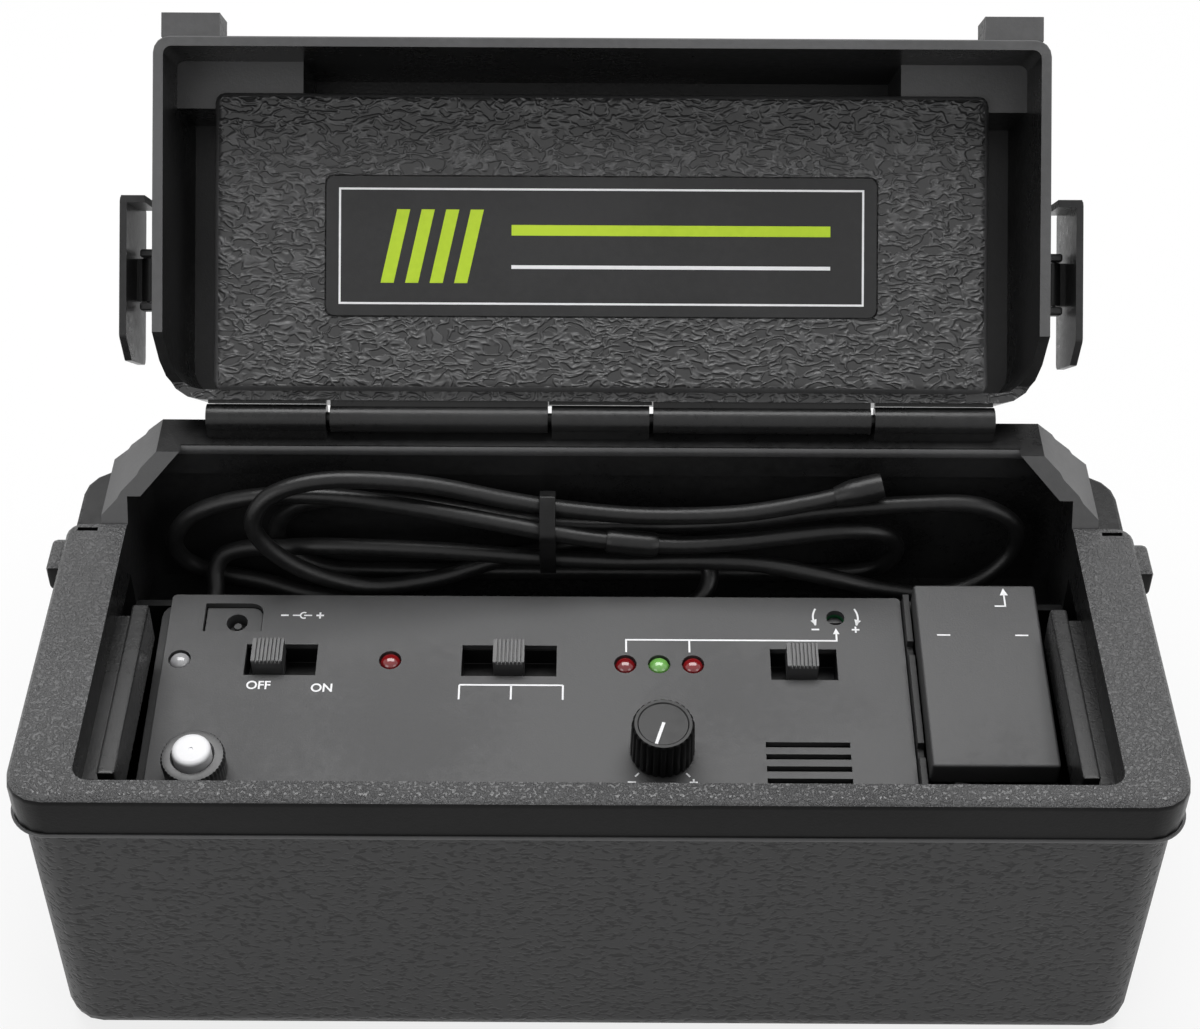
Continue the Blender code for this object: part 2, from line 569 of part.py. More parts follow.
def latch(name, sign, hinge):
    """A side latch: a shallow dished lever with a barrel between the lid's two ears, and its pin."""
    pivot = bpy.data.objects.new(f"{name}_axis", None)
    PARTS.objects.link(pivot)
    pivot.parent = hinge
    pivot.location = Vector((sign * LATCH_AXIS_X, -sum(EARS) / 2, LATCH_AXIS_H)) * MM
    away = LATCH_OUT - LATCH_AXIS_X
    middle = sum(EARS) / 2
    chamfer = 5.5
    side = [(middle - LATCH_NEAR, LATCH_LOW + 7.0), (middle - LATCH_NEAR, LATCH_HIGH),
            (middle - LATCH_FAR, LATCH_HIGH), (middle - LATCH_FAR, LATCH_LOW),
            (middle - LATCH_NEAR - chamfer, LATCH_LOW)]
    side = [(y, z - LATCH_AXIS_H) for y, z in side]
    plate = sorted((sign * away, sign * (away - LATCH_THICK)))
    lever = slab(name, [soft_corners(side, 1.5, 2)], plate[0], plate[1], axis="x", material=CASE_BLACK, parent=pivot)
    here = {"parent": pivot, "cutter": True}
    lip = sorted((sign * (away - 0.3), sign * (LIP_IN_X - LATCH_AXIS_X)))
    half = (EARS[1] - EARS[0]) / 2 - EAR_THICK / 2 - GAP
    web = sorted((0.0, sign * (away - 0.3)))
    join(lever,
         block(f"{name}_end", (lip[0], middle - LATCH_FAR + 0.01, LATCH_LOW - LATCH_AXIS_H + 0.01),
               (lip[1], middle - LATCH_FAR + LATCH_THICK, 2.0), **here),
         rod(f"{name}_barrel", BARREL_R, (0, -half, 0), (0, half, 0), sides=20, **here),
         block(f"{name}_web", (web[0], -half + 0.01, -1.6), (web[1], half - 0.01, 1.6), **here))
    cut(lever, rod(f"{name}_bore", LATCH_PIN_R + 0.15, (0, -half - OVER, 0), (0, half + OVER, 0), sides=12, **here))
    reach = (EARS[1] - EARS[0]) / 2 + EAR_THICK / 2
    rod(f"{name}_pin", LATCH_PIN_R, (0, -reach + 0.2, 0), (0, reach - 0.8, 0), sides=12, material=STEEL, parent=pivot)


def tub():
    """The instrument's tub: one well under the panel and one for the sensor, its top cut to the slope."""
    outer = soft_corners(rectangle(TUB_LEFT, TUB_RIGHT, TUB_FRONT, TUB_REAR), TUB_R)
    made = slab("instrument_tub", [outer], FLOOR + GAP, ARM_TOP, material=SWITCH_BLACK)
    divider = (PANEL_RIGHT + GAP, PANEL_RIGHT + GAP + DIVIDER)
    floor = FLOOR + GAP + TUB_WALL
    rooms = ((TUB_LEFT + TUB_WALL, divider[0]), (divider[1], TUB_RIGHT - TUB_WALL + 0.6))
    for name, (low, high) in zip(("panel", "sensor"), rooms):
        inner = soft_corners(rectangle(low, high, TUB_FRONT + TUB_WALL, TUB_REAR - TUB_WALL), TUB_R - TUB_WALL, 3)
        cut(made, slab(f"{name}_well", [inner], floor, ARM_TOP + OVER, cutter=True))
    under = -PANEL_THICK - GAP
    ends = (TUB_FRONT - OVER, TUB_REAR + OVER)
    for name, low, high, up in (("panel", TUB_LEFT - OVER, divider[0], under),
                                ("divider", divider[0] - 0.5, divider[1] + 0.01, DIVIDER_UP),
                                ("sensor", divider[1], TUB_RIGHT + OVER, COVER_LOW - GAP)):
        profile = [(ends[0], panel_height(ends[0], up)), (ends[1], panel_height(ends[1], up)),
                   (ends[1], ARM_TOP + OVER), (ends[0], ARM_TOP + OVER)]
        cut(made, slab(f"{name}_slope", [profile], low, high, axis="x", cutter=True))
    for spot in NOTCHES:
        z = panel_height(spot, DIVIDER_UP)
        cut(made, block(f"notch_{spot:.0f}", (divider[0] - 1.0, spot, z - 1.6),
                        (divider[1] + 1.0, spot + NOTCH_LONG, z + OVER), cutter=True))
    wall = TUB_REAR - TUB_WALL
    cut(made,
        rod("tub_gland_bore", GLAND_R + GAP, (GLAND_X, wall - 1.0, GLAND_Z), (GLAND_X, TUB_REAR + 1.0, GLAND_Z),
            sides=16, cutter=True),
        block("jack_notch", (JACK_X - JACK_WIDE / 2 - GAP, wall - 1.0, panel_height(wall, -JACK_SINK - JACK_PLATE - GAP)),
              (JACK_X + JACK_WIDE / 2 + GAP, TUB_REAR + 1.0, ARM_TOP), cutter=True),
        block("trimmer_notch", (TRIM_X - TRIM_BODY / 2 - GAP, wall - 1.0, panel_height(wall, -PANEL_THICK - 7.0)),
              (TRIM_X + TRIM_BODY / 2 + GAP, TUB_REAR + 1.0, ARM_TOP), cutter=True))


def control_panel(face):
    """The sloping panel with its windows, holes and vent slots."""
    deep = -PANEL_THICK
    outline = [soft_corners(rectangle(PANEL_LEFT, PANEL_RIGHT, PANEL_FRONT, PANEL_REAR), 1.0, 2)]
    for x, y in LAMPS.values():
        outline.append(circle(x, y, LAMP_R + GAP, 16))
    for x, y, wide, _ in SWITCHES.values():
        outline.append(rectangle(x - wide / 2, x + wide / 2, y - SLOT_HIGH / 2, y + SLOT_HIGH / 2))
    outline.append(soft_corners(rectangle(JACK_X - JACK_WIDE / 2, JACK_X + JACK_WIDE / 2, JACK_Y - JACK_HIGH / 2,
                                          JACK_Y + JACK_HIGH / 2), [0.3, 0.3, 3.0, 0.3], 4))
    outline.append(circle(TRIM_X, TRIM_Y, TRIM_R, 16))
    outline.append(circle(KNOB_X, KNOB_Y, SHAFT_R + RUN, 20))
    outline.append(circle(REF_X, REF_Y, BOTTLE_R + GAP, 24))
    for k in range(VENTS):
        y = VENT_Y - k * VENT_PITCH
        outline.append(rectangle(VENT_X - VENT_WIDE / 2, VENT_X + VENT_WIDE / 2, y - VENT_HIGH / 2, y + VENT_HIGH / 2))
    slab("control_panel", outline, deep, 0.0, material=PANEL_BLACK, parent=face)


def circle(x, y, radius, sides):
    """Points round a circle."""
    turns = np.linspace(0.0, 2 * math.pi, sides, endpoint=False)
    return [(x + radius * math.cos(t), y + radius * math.sin(t)) for t in turns]


def turned(title, profile, place_at, sides=24, **place):
    """A turned piece: radius and height pairs, from the top's middle down the outside, spun about Z."""
    mesh = bpy.data.meshes.new(title)
    points = [(r * MM, 0.0, z * MM) for r, z in profile]
    mesh.from_pydata(points, [(i, i + 1) for i in range(len(points) - 1)], [])
    made = add(title, mesh, **place)
    made.location = Vector(place_at) * MM
    spin = made.modifiers.new("turn", "SCREW")
    spin.steps = sides
    spin.render_steps = sides
    spin.use_merge_vertices = True
    spin.merge_threshold = 0.00001
    spin.use_smooth_shade = True
    return made


def lamps(face):
    """Indicator lamps: a domed lens with a flange that stays under the panel."""
    colors = {"charge_lamp": LAMP_CLEAR, "ok_lamp": LAMP_GREEN}
    for name, (x, y) in LAMPS.items():
        dome = [(LAMP_R * math.sin(t), LAMP_UP - LAMP_R * 0.75 + LAMP_R * math.cos(t) * 0.75)
                for t in np.linspace(0.0, math.pi / 2, 5)]
        flange = -PANEL_THICK - GAP
        profile = dome + [(LAMP_R, flange), (LAMP_R + 0.7, flange), (LAMP_R + 0.7, flange - 1.2),
                          (LAMP_R, flange - 1.2), (LAMP_R, -LAMP_DEEP), (0.0, -LAMP_DEEP)]
        turned(name, profile, (x, y, 0), sides=14, material=colors.get(name, LAMP_RED), parent=face)


def slide_switch(name, face):
    """A slide switch: a tray under the panel and a ribbed slider that runs in it."""
    x, y, wide, stand = SWITCHES[name]
    top = -PANEL_THICK - GAP
    half = wide / 2 + SWITCH_WALL
    high = SLOT_HIGH / 2 + SWITCH_WALL
    body = block(f"{name}_switch", (x - half, y - high, top - SWITCH_DEEP), (x + half, y + high, top),
                 material=SWITCH_BLACK, parent=face)
    cut(body, block(f"{name}_tray", (x - wide / 2, y - SLOT_HIGH / 2, top - SWITCH_DEEP + 2.5),
                    (x + wide / 2, y + SLOT_HIGH / 2, top + OVER), parent=face, cutter=True))
    axis = bpy.data.objects.new(f"{name}_runner", None)
    PARTS.objects.link(axis)
    axis.parent = face
    axis.location = Vector((x + stand, y, 0)) * MM
    ribs = [(-SLIDER_WIDE / 2, -1.2), (SLIDER_WIDE / 2, -1.2), (SLIDER_WIDE / 2, SLIDER_UP)]
    pitch = SLIDER_WIDE / SLIDER_RIBS
    for k in range(SLIDER_RIBS):
        right = SLIDER_WIDE / 2 - k * pitch
        if k:
            ribs.append((right, SLIDER_UP))
        ribs += [(right - pitch * 0.55, SLIDER_UP), (right - pitch * 0.55, SLIDER_UP - 0.6),
                 (right - pitch + 0.01, SLIDER_UP - 0.6)]
    ribs[-1] = (-SLIDER_WIDE / 2, SLIDER_UP - 0.6)
    slider = slab(f"{name}_slider", [ribs], -SLIDER_HIGH / 2, SLIDER_HIGH / 2, axis="y", material=SWITCH_BLACK,
                  parent=axis)
    foot_low = top - SWITCH_DEEP + 2.5 + GAP
    join(slider, block(f"{name}_foot", (-SLIDER_WIDE / 2 + 0.6, -SLOT_HIGH / 2 + GAP, foot_low),
                       (SLIDER_WIDE / 2 - 0.6, SLOT_HIGH / 2 - GAP, -1.0), parent=axis, cutter=True))


def jack(face):
    """The charger jack: a block sunk in the panel's window, with a socket round its centre pin."""
    wide, high = JACK_WIDE / 2 - GAP, JACK_HIGH / 2 - GAP
    plan = soft_corners(rectangle(JACK_X - wide, JACK_X + wide, JACK_Y - high, JACK_Y + high), [0.3, 0.3, 2.7, 0.3])
    body = slab("charger_jack", [plan], -JACK_SINK - JACK_PLATE, -JACK_SINK, material=SWITCH_BLACK, parent=face)
    x, y = JACK_X + 0.8, JACK_Y - 0.6
    join(body, block("jack_body", (x - JACK_R - 1.6, y - JACK_R - 0.7, -JACK_DEEP),
                     (x + JACK_R + 1.6, y + JACK_R + 0.6, -JACK_SINK - 0.4), parent=face, cutter=True))
    cut(body, rod("jack_socket", JACK_R, (x, y, -JACK_DEEP + 1.5), (x, y, OVER), sides=20, parent=face, cutter=True))
    join(body, rod("jack_pin", 1.0, (x, y, -JACK_DEEP + 1.0), (x, y, -JACK_SINK - 1.5), sides=10, parent=face,
                   cutter=True))


def trimmer(face):
    """The heater trimmer under its hole, with a slotted screw that turns."""
    top = -PANEL_THICK - GAP
    half = TRIM_BODY / 2
    body = block("heater_trimmer", (TRIM_X - half, TRIM_Y - half, top - 6.0), (TRIM_X + half, TRIM_Y + half - 0.7,
                 top), material=BOARD_GREEN, parent=face)
    cut(body, rod("trimmer_bore", TRIM_R, (TRIM_X, TRIM_Y, top - 4.0), (TRIM_X, TRIM_Y, OVER), sides=16, parent=face,
                  cutter=True))
    axis = bpy.data.objects.new("trimmer_axis", None)
    PARTS.objects.link(axis)
    axis.parent = face
    axis.location = Vector((TRIM_X, TRIM_Y, 0)) * MM
    screw = rod("trimmer_screw", TRIM_R - GAP, (0, 0, top - 4.0 + GAP), (0, 0, top - 0.6), sides=16, material=STEEL,
                parent=axis)
    cut(screw, block("trimmer_slot", (-OVER, -0.3, top - 1.4), (OVER, 0.3, OVER), parent=axis, cutter=True))


def knob(face):
    """The calibration control: a potentiometer, its shaft and a fluted knob."""
    top = -PANEL_THICK - GAP
    pot = rod("calibration_pot", POT_R, (KNOB_X, KNOB_Y, top - POT_DEEP), (KNOB_X, KNOB_Y, top), material=STEEL,
              parent=face)
    cut(pot, rod("pot_bore", SHAFT_R + 0.2, (KNOB_X, KNOB_Y, top - 6.0), (KNOB_X, KNOB_Y, OVER), sides=20,
                 parent=face, cutter=True))
    axis = bpy.data.objects.new("knob_axis", None)
    PARTS.objects.link(axis)
    axis.parent = face
    axis.location = Vector((KNOB_X, KNOB_Y, 0)) * MM
    rod("knob_shaft", SHAFT_R, (0, 0, top - 6.0 + GAP), (0, 0, KNOB_HIGH - 3.0), sides=20, material=STEEL,
        parent=axis)
    flutes = []
    for t in np.linspace(0.0, 2 * math.pi, 2 * KNOB_FLUTES, endpoint=False):
        r = KNOB_R - (0.35 if len(flutes) % 2 else 0.0)
        flutes.append((r * math.cos(t), r * math.sin(t)))
    made = slab("calibration_knob", [flutes], RUN, KNOB_HIGH, top=0.6, material=SWITCH_BLACK, parent=axis)
    cut(made, rod("knob_bore", SHAFT_R + GAP, (0, 0, -OVER), (0, 0, KNOB_HIGH - 3.0 + GAP), sides=20, parent=axis,
                  cutter=True))


def reference(face):
    """The calibration reference: a bottle hung in the panel, its knurled collar and its white cap."""
    turned("reference_bottle", [(0, -GAP), (BOTTLE_R, -GAP), (BOTTLE_R, -BOTTLE_DEEP), (0, -BOTTLE_DEEP)],
           (REF_X, REF_Y, 0), material=WHITE, parent=face)
    teeth = []
    for t in np.linspace(0.0, 2 * math.pi, 2 * COLLAR_TEETH, endpoint=False):
        r = COLLAR_R - (0.4 if len(teeth) % 2 else 0.0)
        teeth.append((REF_X + r * math.cos(t), REF_Y + r * math.sin(t)))
    collar = slab("reference_collar", [teeth], GAP, COLLAR_HIGH, top=0.5, material=SWITCH_BLACK, parent=face)
    cut(collar, rod("collar_bore", CAP_R + GAP, (REF_X, REF_Y, 1.5), (REF_X, REF_Y, COLLAR_HIGH + OVER),
                    parent=face, cutter=True))
    top = COLLAR_HIGH + CAP_UP
    turned("reference_cap", [(0, top), (CAP_R - 0.8, top), (CAP_R, top - 0.8), (CAP_R, 1.5 + GAP), (0, 1.5 + GAP)],
           (REF_X, REF_Y, 0), material=WHITE, parent=face)


def sensor(face):
    """The lift-off sensor cover over its well, and the heated sensor that stands in the well."""
    cover = block("sensor_cover", (COVER_LEFT, COVER_FRONT, COVER_LOW), (COVER_RIGHT, COVER_REAR, COVER_UP),
                  edge=COVER_EDGE, material=PANEL_BLACK, parent=face)
    cut(cover, block("cover_room", (COVER_LEFT + COVER_WALL, COVER_FRONT + COVER_WALL, -OVER),
                     (COVER_RIGHT - COVER_WALL, COVER_REAR - COVER_WALL, COVER_UP - COVER_WALL), parent=face,
                     cutter=True))
    x = (COVER_LEFT + COVER_RIGHT) / 2
    floor = FLOOR + GAP + TUB_WALL + GAP
    turned("heated_sensor", [(0, SENSOR_HIGH), (SENSOR_R - 1, SENSOR_HIGH), (SENSOR_R, SENSOR_HIGH - 1),
                             (SENSOR_R, 4.0), (SENSOR_R + 2, 4.0), (SENSOR_R + 2, 0.0), (0, 0.0)],
           (x, 0.0, floor), material=STEEL)


def insides(face):
    """What works below the panel: the board on its pillars, the battery pack, the pump and the sounder."""
    floor = FLOOR + GAP + TUB_WALL + GAP
    wide, deep, high = BATTERY
    block("battery_pack", (BATTERY_X - wide / 2, -deep / 2 - 10, floor), (BATTERY_X + wide / 2, deep / 2 - 10,
          floor + high), edge=2.0, material=SWITCH_BLACK)
    first = BATTERY_X + wide / 2
    room = PANEL_RIGHT - first
    deep, high = PUMP
    block("sampling_pump", (first + room * PUMP_SPAN[0], -deep / 2 - 10, floor),
          (first + room * PUMP_SPAN[1], deep / 2 - 10, floor + high), edge=1.5, material=STEEL)
    low = -PANEL_THICK - GAP - BOARD_DROP
    board = block("circuit_board", (-BOARD_HALF, BOARD_FRONT, low - BOARD_THICK), (BOARD_HALF, BOARD_REAR, low),
                  material=BOARD_GREEN, parent=face)
    for x in (-BOARD_HALF + 3.0, BOARD_HALF - 3.0):
        y = BOARD_REAR - 3.0
        join(board, rod(f"pillar_{x:.0f}", 2.0, (x, y, low - SINK), (x, y, -PANEL_THICK - GAP), sides=12,
                        parent=face, cutter=True))
    top = -PANEL_THICK - GAP
    y = VENT_Y - VENT_PITCH * (VENTS - 1) / 2
    turned("sounder", [(0, top), (10.0, top), (10.0, top - 7.0), (0, top - 7.0)], (VENT_X, y, 0),
           material=SWITCH_BLACK, parent=face)


def smooth_route(points, steps=12):
    """A Catmull-Rom curve through the points, as an array of close spots."""
    spots = np.array(points, dtype=float)
    ends = np.vstack([2 * spots[0] - spots[1], spots, 2 * spots[-1] - spots[-2]])
    t = np.linspace(0.0, 1.0, steps, endpoint=False)[:, None]
    runs = []
    for a, b, c, d in zip(ends[:-3], ends[1:-2], ends[2:-1], ends[3:]):
        runs.append(0.5 * (2 * b + (c - a) * t + (2 * a - 5 * b + 4 * c - d) * t ** 2
                           + (3 * b - a - 3 * c + d) * t ** 3))
    return np.vstack(runs + [spots[-1:]])


def thinned(spots, bend=24.0, longest=22.0):
    """The curve's spots with fewer on its straight runs: one for each so many degrees or millimetres."""
    kept = [spots[0]]
    turned_by = run = 0.0
    for before, here, after in zip(spots[:-2], spots[1:-1], spots[2:]):
        into, out = here - before, after - here
        run += np.linalg.norm(into)
        cosine = np.dot(into, out) / (np.linalg.norm(into) * np.linalg.norm(out))
        turned_by += math.degrees(math.acos(np.clip(cosine, -1.0, 1.0)))
        if turned_by >= bend or run >= longest:
            kept.append(here)
            turned_by = run = 0.0
    return np.array(kept + [spots[-1]])


def stretch(spots, low, high):
    """The part of a line of spots between two lengths along it; lengths under 1 are counted from its far end."""
    along = np.concatenate([[0.0], np.cumsum(np.linalg.norm(np.diff(spots, axis=0), axis=1))])
    low, high = (at if at >= 1.0 else along[-1] + at for at in (low, high))
    ends = [np.array([np.interp(at, along, spots[:, k]) for k in range(3)]) for at in (low, high)]
    inside = (along > low + 0.5) & (along < high - 0.5)
    return np.array([ends[0], *spots[inside], ends[1]])


def pipe(title, points, outer, inner=0.0, sides=8, **place):
    """A round pipe along the points, or a solid cord when inner is zero; outer may be one number for each point."""
    spots = np.array(points, dtype=float)
    count = len(spots)
    heads = np.gradient(spots, axis=0)
    heads /= np.linalg.norm(heads, axis=1)[:, None]
    outer = np.broadcast_to(outer, count)
    side = np.cross(heads[0], (0.1, 0.2, 1.0))
    turns = np.linspace(0.0, 2 * math.pi, sides, endpoint=False)
    bm = bmesh.new()
    skins = [[], []] if inner else [[]]
    for k in range(count):
        side = side - heads[k] * np.dot(side, heads[k])
        side /= np.linalg.norm(side)
        up = np.cross(heads[k], side)
        rim = np.cos(turns)[:, None] * side + np.sin(turns)[:, None] * up
        for skin, radius in zip(skins, (outer[k], inner)):
            skin.append([bm.verts.new(spots[k] + radius * spoke) for spoke in rim])
    for skin in skins:
        for ring, following in zip(skin[:-1], skin[1:]):
            for i in range(sides):
                j = (i + 1) % sides
                bm.faces.new((ring[i], ring[j], following[j], following[i]))
    for end in (0, -1):
        if inner:
            for i in range(sides):
                j = (i + 1) % sides
                bm.faces.new((skins[0][end][i], skins[0][end][j], skins[1][end][j], skins[1][end][i]))
        else:
            bm.faces.new(skins[0][end])
    return from_bmesh(title, bm, **place)


def cord():
    """The probe cord from the tub to its end boot, with its gland, its sleeve and the tie round the coil."""
    spots = thinned(smooth_route([(x * SPREAD, y, z) for x, y, z in CORD_ROUTE]))
    pipe("probe_cord", spots, CORD_R, sides=6, material=RUBBER)
    bore = CORD_R + CORD_GAP
    near, far = GLAND_ENDS
    levels = (near, far - 1.7, far - 1.6, far)
    pipe("cord_gland", [(GLAND_X, y, GLAND_Z) for y in levels], (GLAND_R, GLAND_R, GLAND_FLANGE, GLAND_FLANGE), bore,
         sides=12, material=RUBBER)
    pipe("cord_sleeve", stretch(spots, *SLEEVE_AT), SLEEVE_R, bore, sides=12, material=RUBBER)
    tip = stretch(spots, -BOOT_LONG / 2, 0.0)
    head = (tip[-1] - tip[-2]) / np.linalg.norm(tip[-1] - tip[-2])
    pipe("probe_boot", [*tip, tip[-1] + head * BOOT_LONG / 2], BOOT_R, bore, sides=12, material=RUBBER)
    tie()


def tie():
    """The tie: one band drawn round the strands that pass through its plane."""
    loops = []
    for reach in (CORD_R + 0.7, CORD_R + 0.7 + TIE_THICK):
        loop = []
        count = len(TIE_STRANDS)
        for k in range(count):
            here = np.array(TIE_STRANDS[k])
            into = here - np.array(TIE_STRANDS[k - 1])
            out = np.array(TIE_STRANDS[(k + 1) % count]) - here
            start = math.atan2(-into[0], into[1])
            sweep = (math.atan2(-out[0], out[1]) - start) % (2 * math.pi)
            for step in range(4):
                turn = start + sweep * step / 3
                loop.append(tuple(here + reach * np.array((math.cos(turn), math.sin(turn)))))
        loops.append(loop)
    slab("cord_tie", [loops[1], loops[0]], TIE_X - TIE_WIDE / 2, TIE_X + TIE_WIDE / 2, axis="x", material=RUBBER)


def build():
    """Make every piece."""
    base_case()
    rod("hinge_pin", PIN_R, (-END_KNUCKLE[1] + 0.5, HINGE_Y, HINGE_Z), (END_KNUCKLE[1] - 0.5, HINGE_Y, HINGE_Z),
        sides=16, material=STEEL)
    hinge = frame("lid_hinge", (0, HINGE_Y, HINGE_Z), -LID_OPEN)
    lid(hinge)
    latch("latch_left", -1, hinge)
    latch("latch_right", 1, hinge)
    face = frame("panel_frame", (0, 0, PANEL_Z), TILT)
    tub()
    control_panel(face)
    lamps(face)
    for name in SWITCHES:
        slide_switch(name, face)
    jack(face)
    trimmer(face)
    knob(face)
    reference(face)
    sensor(face)
    insides(face)
    cord()


build()
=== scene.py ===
# %% [markdown]
# # Dressing a leak detector in its carrying case
# The solids of this instrument come ready made. This lesson gives them the look of the real thing:
# leather-grained black mouldings, a matt panel with white marks, lamps, ribbed switches and a coiled rubber
# cord. Everything is in metres, with the origin at the centre of the case's flat bottom.

# %% Load the solids
import math

import bmesh
import bpy
import numpy as np
from mathutils import Matrix, Vector


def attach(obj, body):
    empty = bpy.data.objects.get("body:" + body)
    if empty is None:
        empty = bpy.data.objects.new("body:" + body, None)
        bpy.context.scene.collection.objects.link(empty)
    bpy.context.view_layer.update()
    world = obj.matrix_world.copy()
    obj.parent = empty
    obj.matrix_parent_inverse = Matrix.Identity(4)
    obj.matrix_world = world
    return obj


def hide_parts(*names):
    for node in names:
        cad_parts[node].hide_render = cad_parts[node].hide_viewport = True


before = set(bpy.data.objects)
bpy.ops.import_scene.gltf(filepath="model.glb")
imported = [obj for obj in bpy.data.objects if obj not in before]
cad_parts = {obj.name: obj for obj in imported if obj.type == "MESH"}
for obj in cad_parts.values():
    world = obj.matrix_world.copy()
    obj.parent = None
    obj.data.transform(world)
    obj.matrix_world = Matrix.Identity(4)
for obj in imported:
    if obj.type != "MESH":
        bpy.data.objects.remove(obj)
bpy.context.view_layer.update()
MM = 0.001

# %% [markdown]
# ## Camera
# The case was photographed from a little above. A camera is placed by three facts: where its eye is, how far
# down it looks, and how long its lens is. Here they were worked out from the case's own straight edges.

# %% Place the camera
def add_object(name, data):
    """An object for the data, linked to the scene."""
    made = bpy.data.objects.new(name, data)
    bpy.context.scene.collection.objects.link(made)
    return made


PHOTO_WIDE = 1200
FOCAL_PIXELS = 2288
EYE = (0.0, -0.378, 0.4755)
LOOK_DOWN = 43.0
ROLL = 0.3
lens = bpy.data.cameras.new("camera")
lens.sensor_width = 36.0
lens.lens = FOCAL_PIXELS / PHOTO_WIDE * lens.sensor_width
camera = add_object("camera", lens)
camera.matrix_world = (Matrix.Translation(EYE) @ Matrix.Rotation(math.radians(90.0 - LOOK_DOWN), 4, "X")
                       @ Matrix.Rotation(math.radians(ROLL), 4, "Z"))
bpy.context.scene.camera = camera
bpy.context.scene.view_settings.view_transform = "Standard"
print("lens:", round(lens.lens, 1), "mm")

# %% [markdown]
# ## Numbers into meshes
# Each new piece is a surface: a grid of points worked out by a formula, all at once, as a numpy array. A
# shape here is a pair, its points in millimetres and its faces, so that shapes can be added up before they
# become one mesh. Rings of points are joined by quads, and the first and last ring can be closed.

# %% Shapes from grids of points
def skin(grid, loop=False):
    """Faces between neighbours of grid[ring, spoke]: spokes wrap, and with loop the rings wrap too.

    Without loop the first and the last ring are closed by one face each.
    """
    grid = np.asarray(grid, dtype=float)
    rings, spokes = grid.shape[:2]
    index = np.arange(rings * spokes).reshape(rings, spokes)
    here = index if loop else index[:-1]
    after = np.roll(index, -1, axis=0)[:len(here)]
    quads = np.stack([here, np.roll(here, -1, axis=1), np.roll(after, -1, axis=1), after], axis=-1)
    faces = quads.reshape(-1, 4).tolist()
    if not loop:
        faces += [index[0][::-1].tolist(), index[-1].tolist()]
    return grid.reshape(-1, 3), faces


def together(*shapes):
    """One shape from several: each one's faces count on from the points before it."""
    points, faces, start = [], [], 0
    for spots, sides in shapes:
        points.append(np.asarray(spots, dtype=float))
        faces += [[i + start for i in side] for side in sides]
        start += len(spots)
    return np.vstack(points), faces


def moved(shape, matrix):
    """Every point of the shape times a 4 by 4 matrix."""
    spots = np.asarray(shape[0], dtype=float)
    turn = np.array(matrix)
    return spots @ turn[:3, :3].T + turn[:3, 3], shape[1]


def prism(outline, low, high, edge=0.0, across="z"):
    """An outline carried from low to high: ring = outline - edge times the corner's outward direction.

    With an edge there are four rings, the outer two drawn in; without one there are two. across names the
    axis it is carried along: z for an outline in x and y, y for one in x and z.
    """
    flat = np.asarray(outline, dtype=float)
    ahead = np.roll(flat, -1, axis=0) - flat
    out = np.stack([ahead[:, 1], -ahead[:, 0]], axis=1)
    out /= np.maximum(np.linalg.norm(out, axis=1), 1e-9)[:, None]
    corner = out + np.roll(out, 1, axis=0)
    corner /= np.maximum((corner * out).sum(axis=1), 0.3)[:, None]
    levels = [(0.0, low), (0.0, high)]
    if edge:
        levels = [(edge, low), (0.0, low + edge), (0.0, high - edge), (edge, high)]
    rings = [np.column_stack([flat - corner * inset, np.full(len(flat), level)]) for inset, level in levels]
    points, faces = skin(np.array(rings))
    return (points[:, [0, 2, 1]] if across == "y" else points), faces


def lathe(profile, sides, wave=None, loop=False):
    """A profile turned about z: each row is a radius r, a height h and a cut k, 0 if left out.

    point = ((r - k w(t)) cos t, (r - k w(t)) sin t, h), where w is the wave, a function of the angle t
    """
    table = np.array([(*row, 0.0)[:3] for row in profile], dtype=float)
    turn = np.linspace(0.0, 2 * math.pi, sides, endpoint=False)
    cuts = np.zeros(sides) if wave is None else wave(turn)
    radius = table[:, :1] - table[:, 2:] * cuts
    height = np.broadcast_to(table[:, 1:2], radius.shape)
    return skin(np.stack([radius * np.cos(turn), radius * np.sin(turn), height], axis=-1), loop=loop)


def stroke(line, wide):
    """The outline of a line of points drawn with a pen so wide: each point is pushed out both ways."""
    line = np.asarray(line, dtype=float)
    run = np.gradient(line, axis=0)
    run /= np.linalg.norm(run, axis=1)[:, None]
    side = np.stack([-run[:, 1], run[:, 0]], axis=1) * wide / 2
    return np.vstack([line - side, (line + side)[::-1]])


def arc(x, y, radius, first, last, steps=24):
    """Points (x + r cos t, y + r sin t) between two angles in degrees."""
    turn = np.radians(np.linspace(first, last, steps))
    return np.column_stack([x + radius * np.cos(turn), y + radius * np.sin(turn)])


print("shape helpers ready")

# %% [markdown]
# ## From shape to piece
# A piece is an object in the scene that moves with one body of the frame and takes its finish from one slot.
# Some solids are already right in form and only need softer edges. A solid's mesh is loose triangles, so a
# copy has its doubled points merged, and a Bevel modifier then rounds each sharp edge by a hair, which is
# what makes a moulding catch the light. A Weighted Normal modifier then lets the large faces decide the
# shading, so that they stay flat beside a round corner.

# %% Pieces and softened solids
SHARP = math.radians(38.0)
ROUNDED = math.radians(40.0)
COPLANAR = math.radians(0.4)
SAME_POINT = 2e-6


def put(name, mesh, body, finishes, replaced=()):
    """An object for the mesh that rides on a body and stands for the named solids."""
    made = add_object(name, mesh)
    mesh.materials.clear()
    for finish in finishes:
        mesh.materials.append(finish)
    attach(made, body)
    if replaced:
        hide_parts(*replaced)
    return made


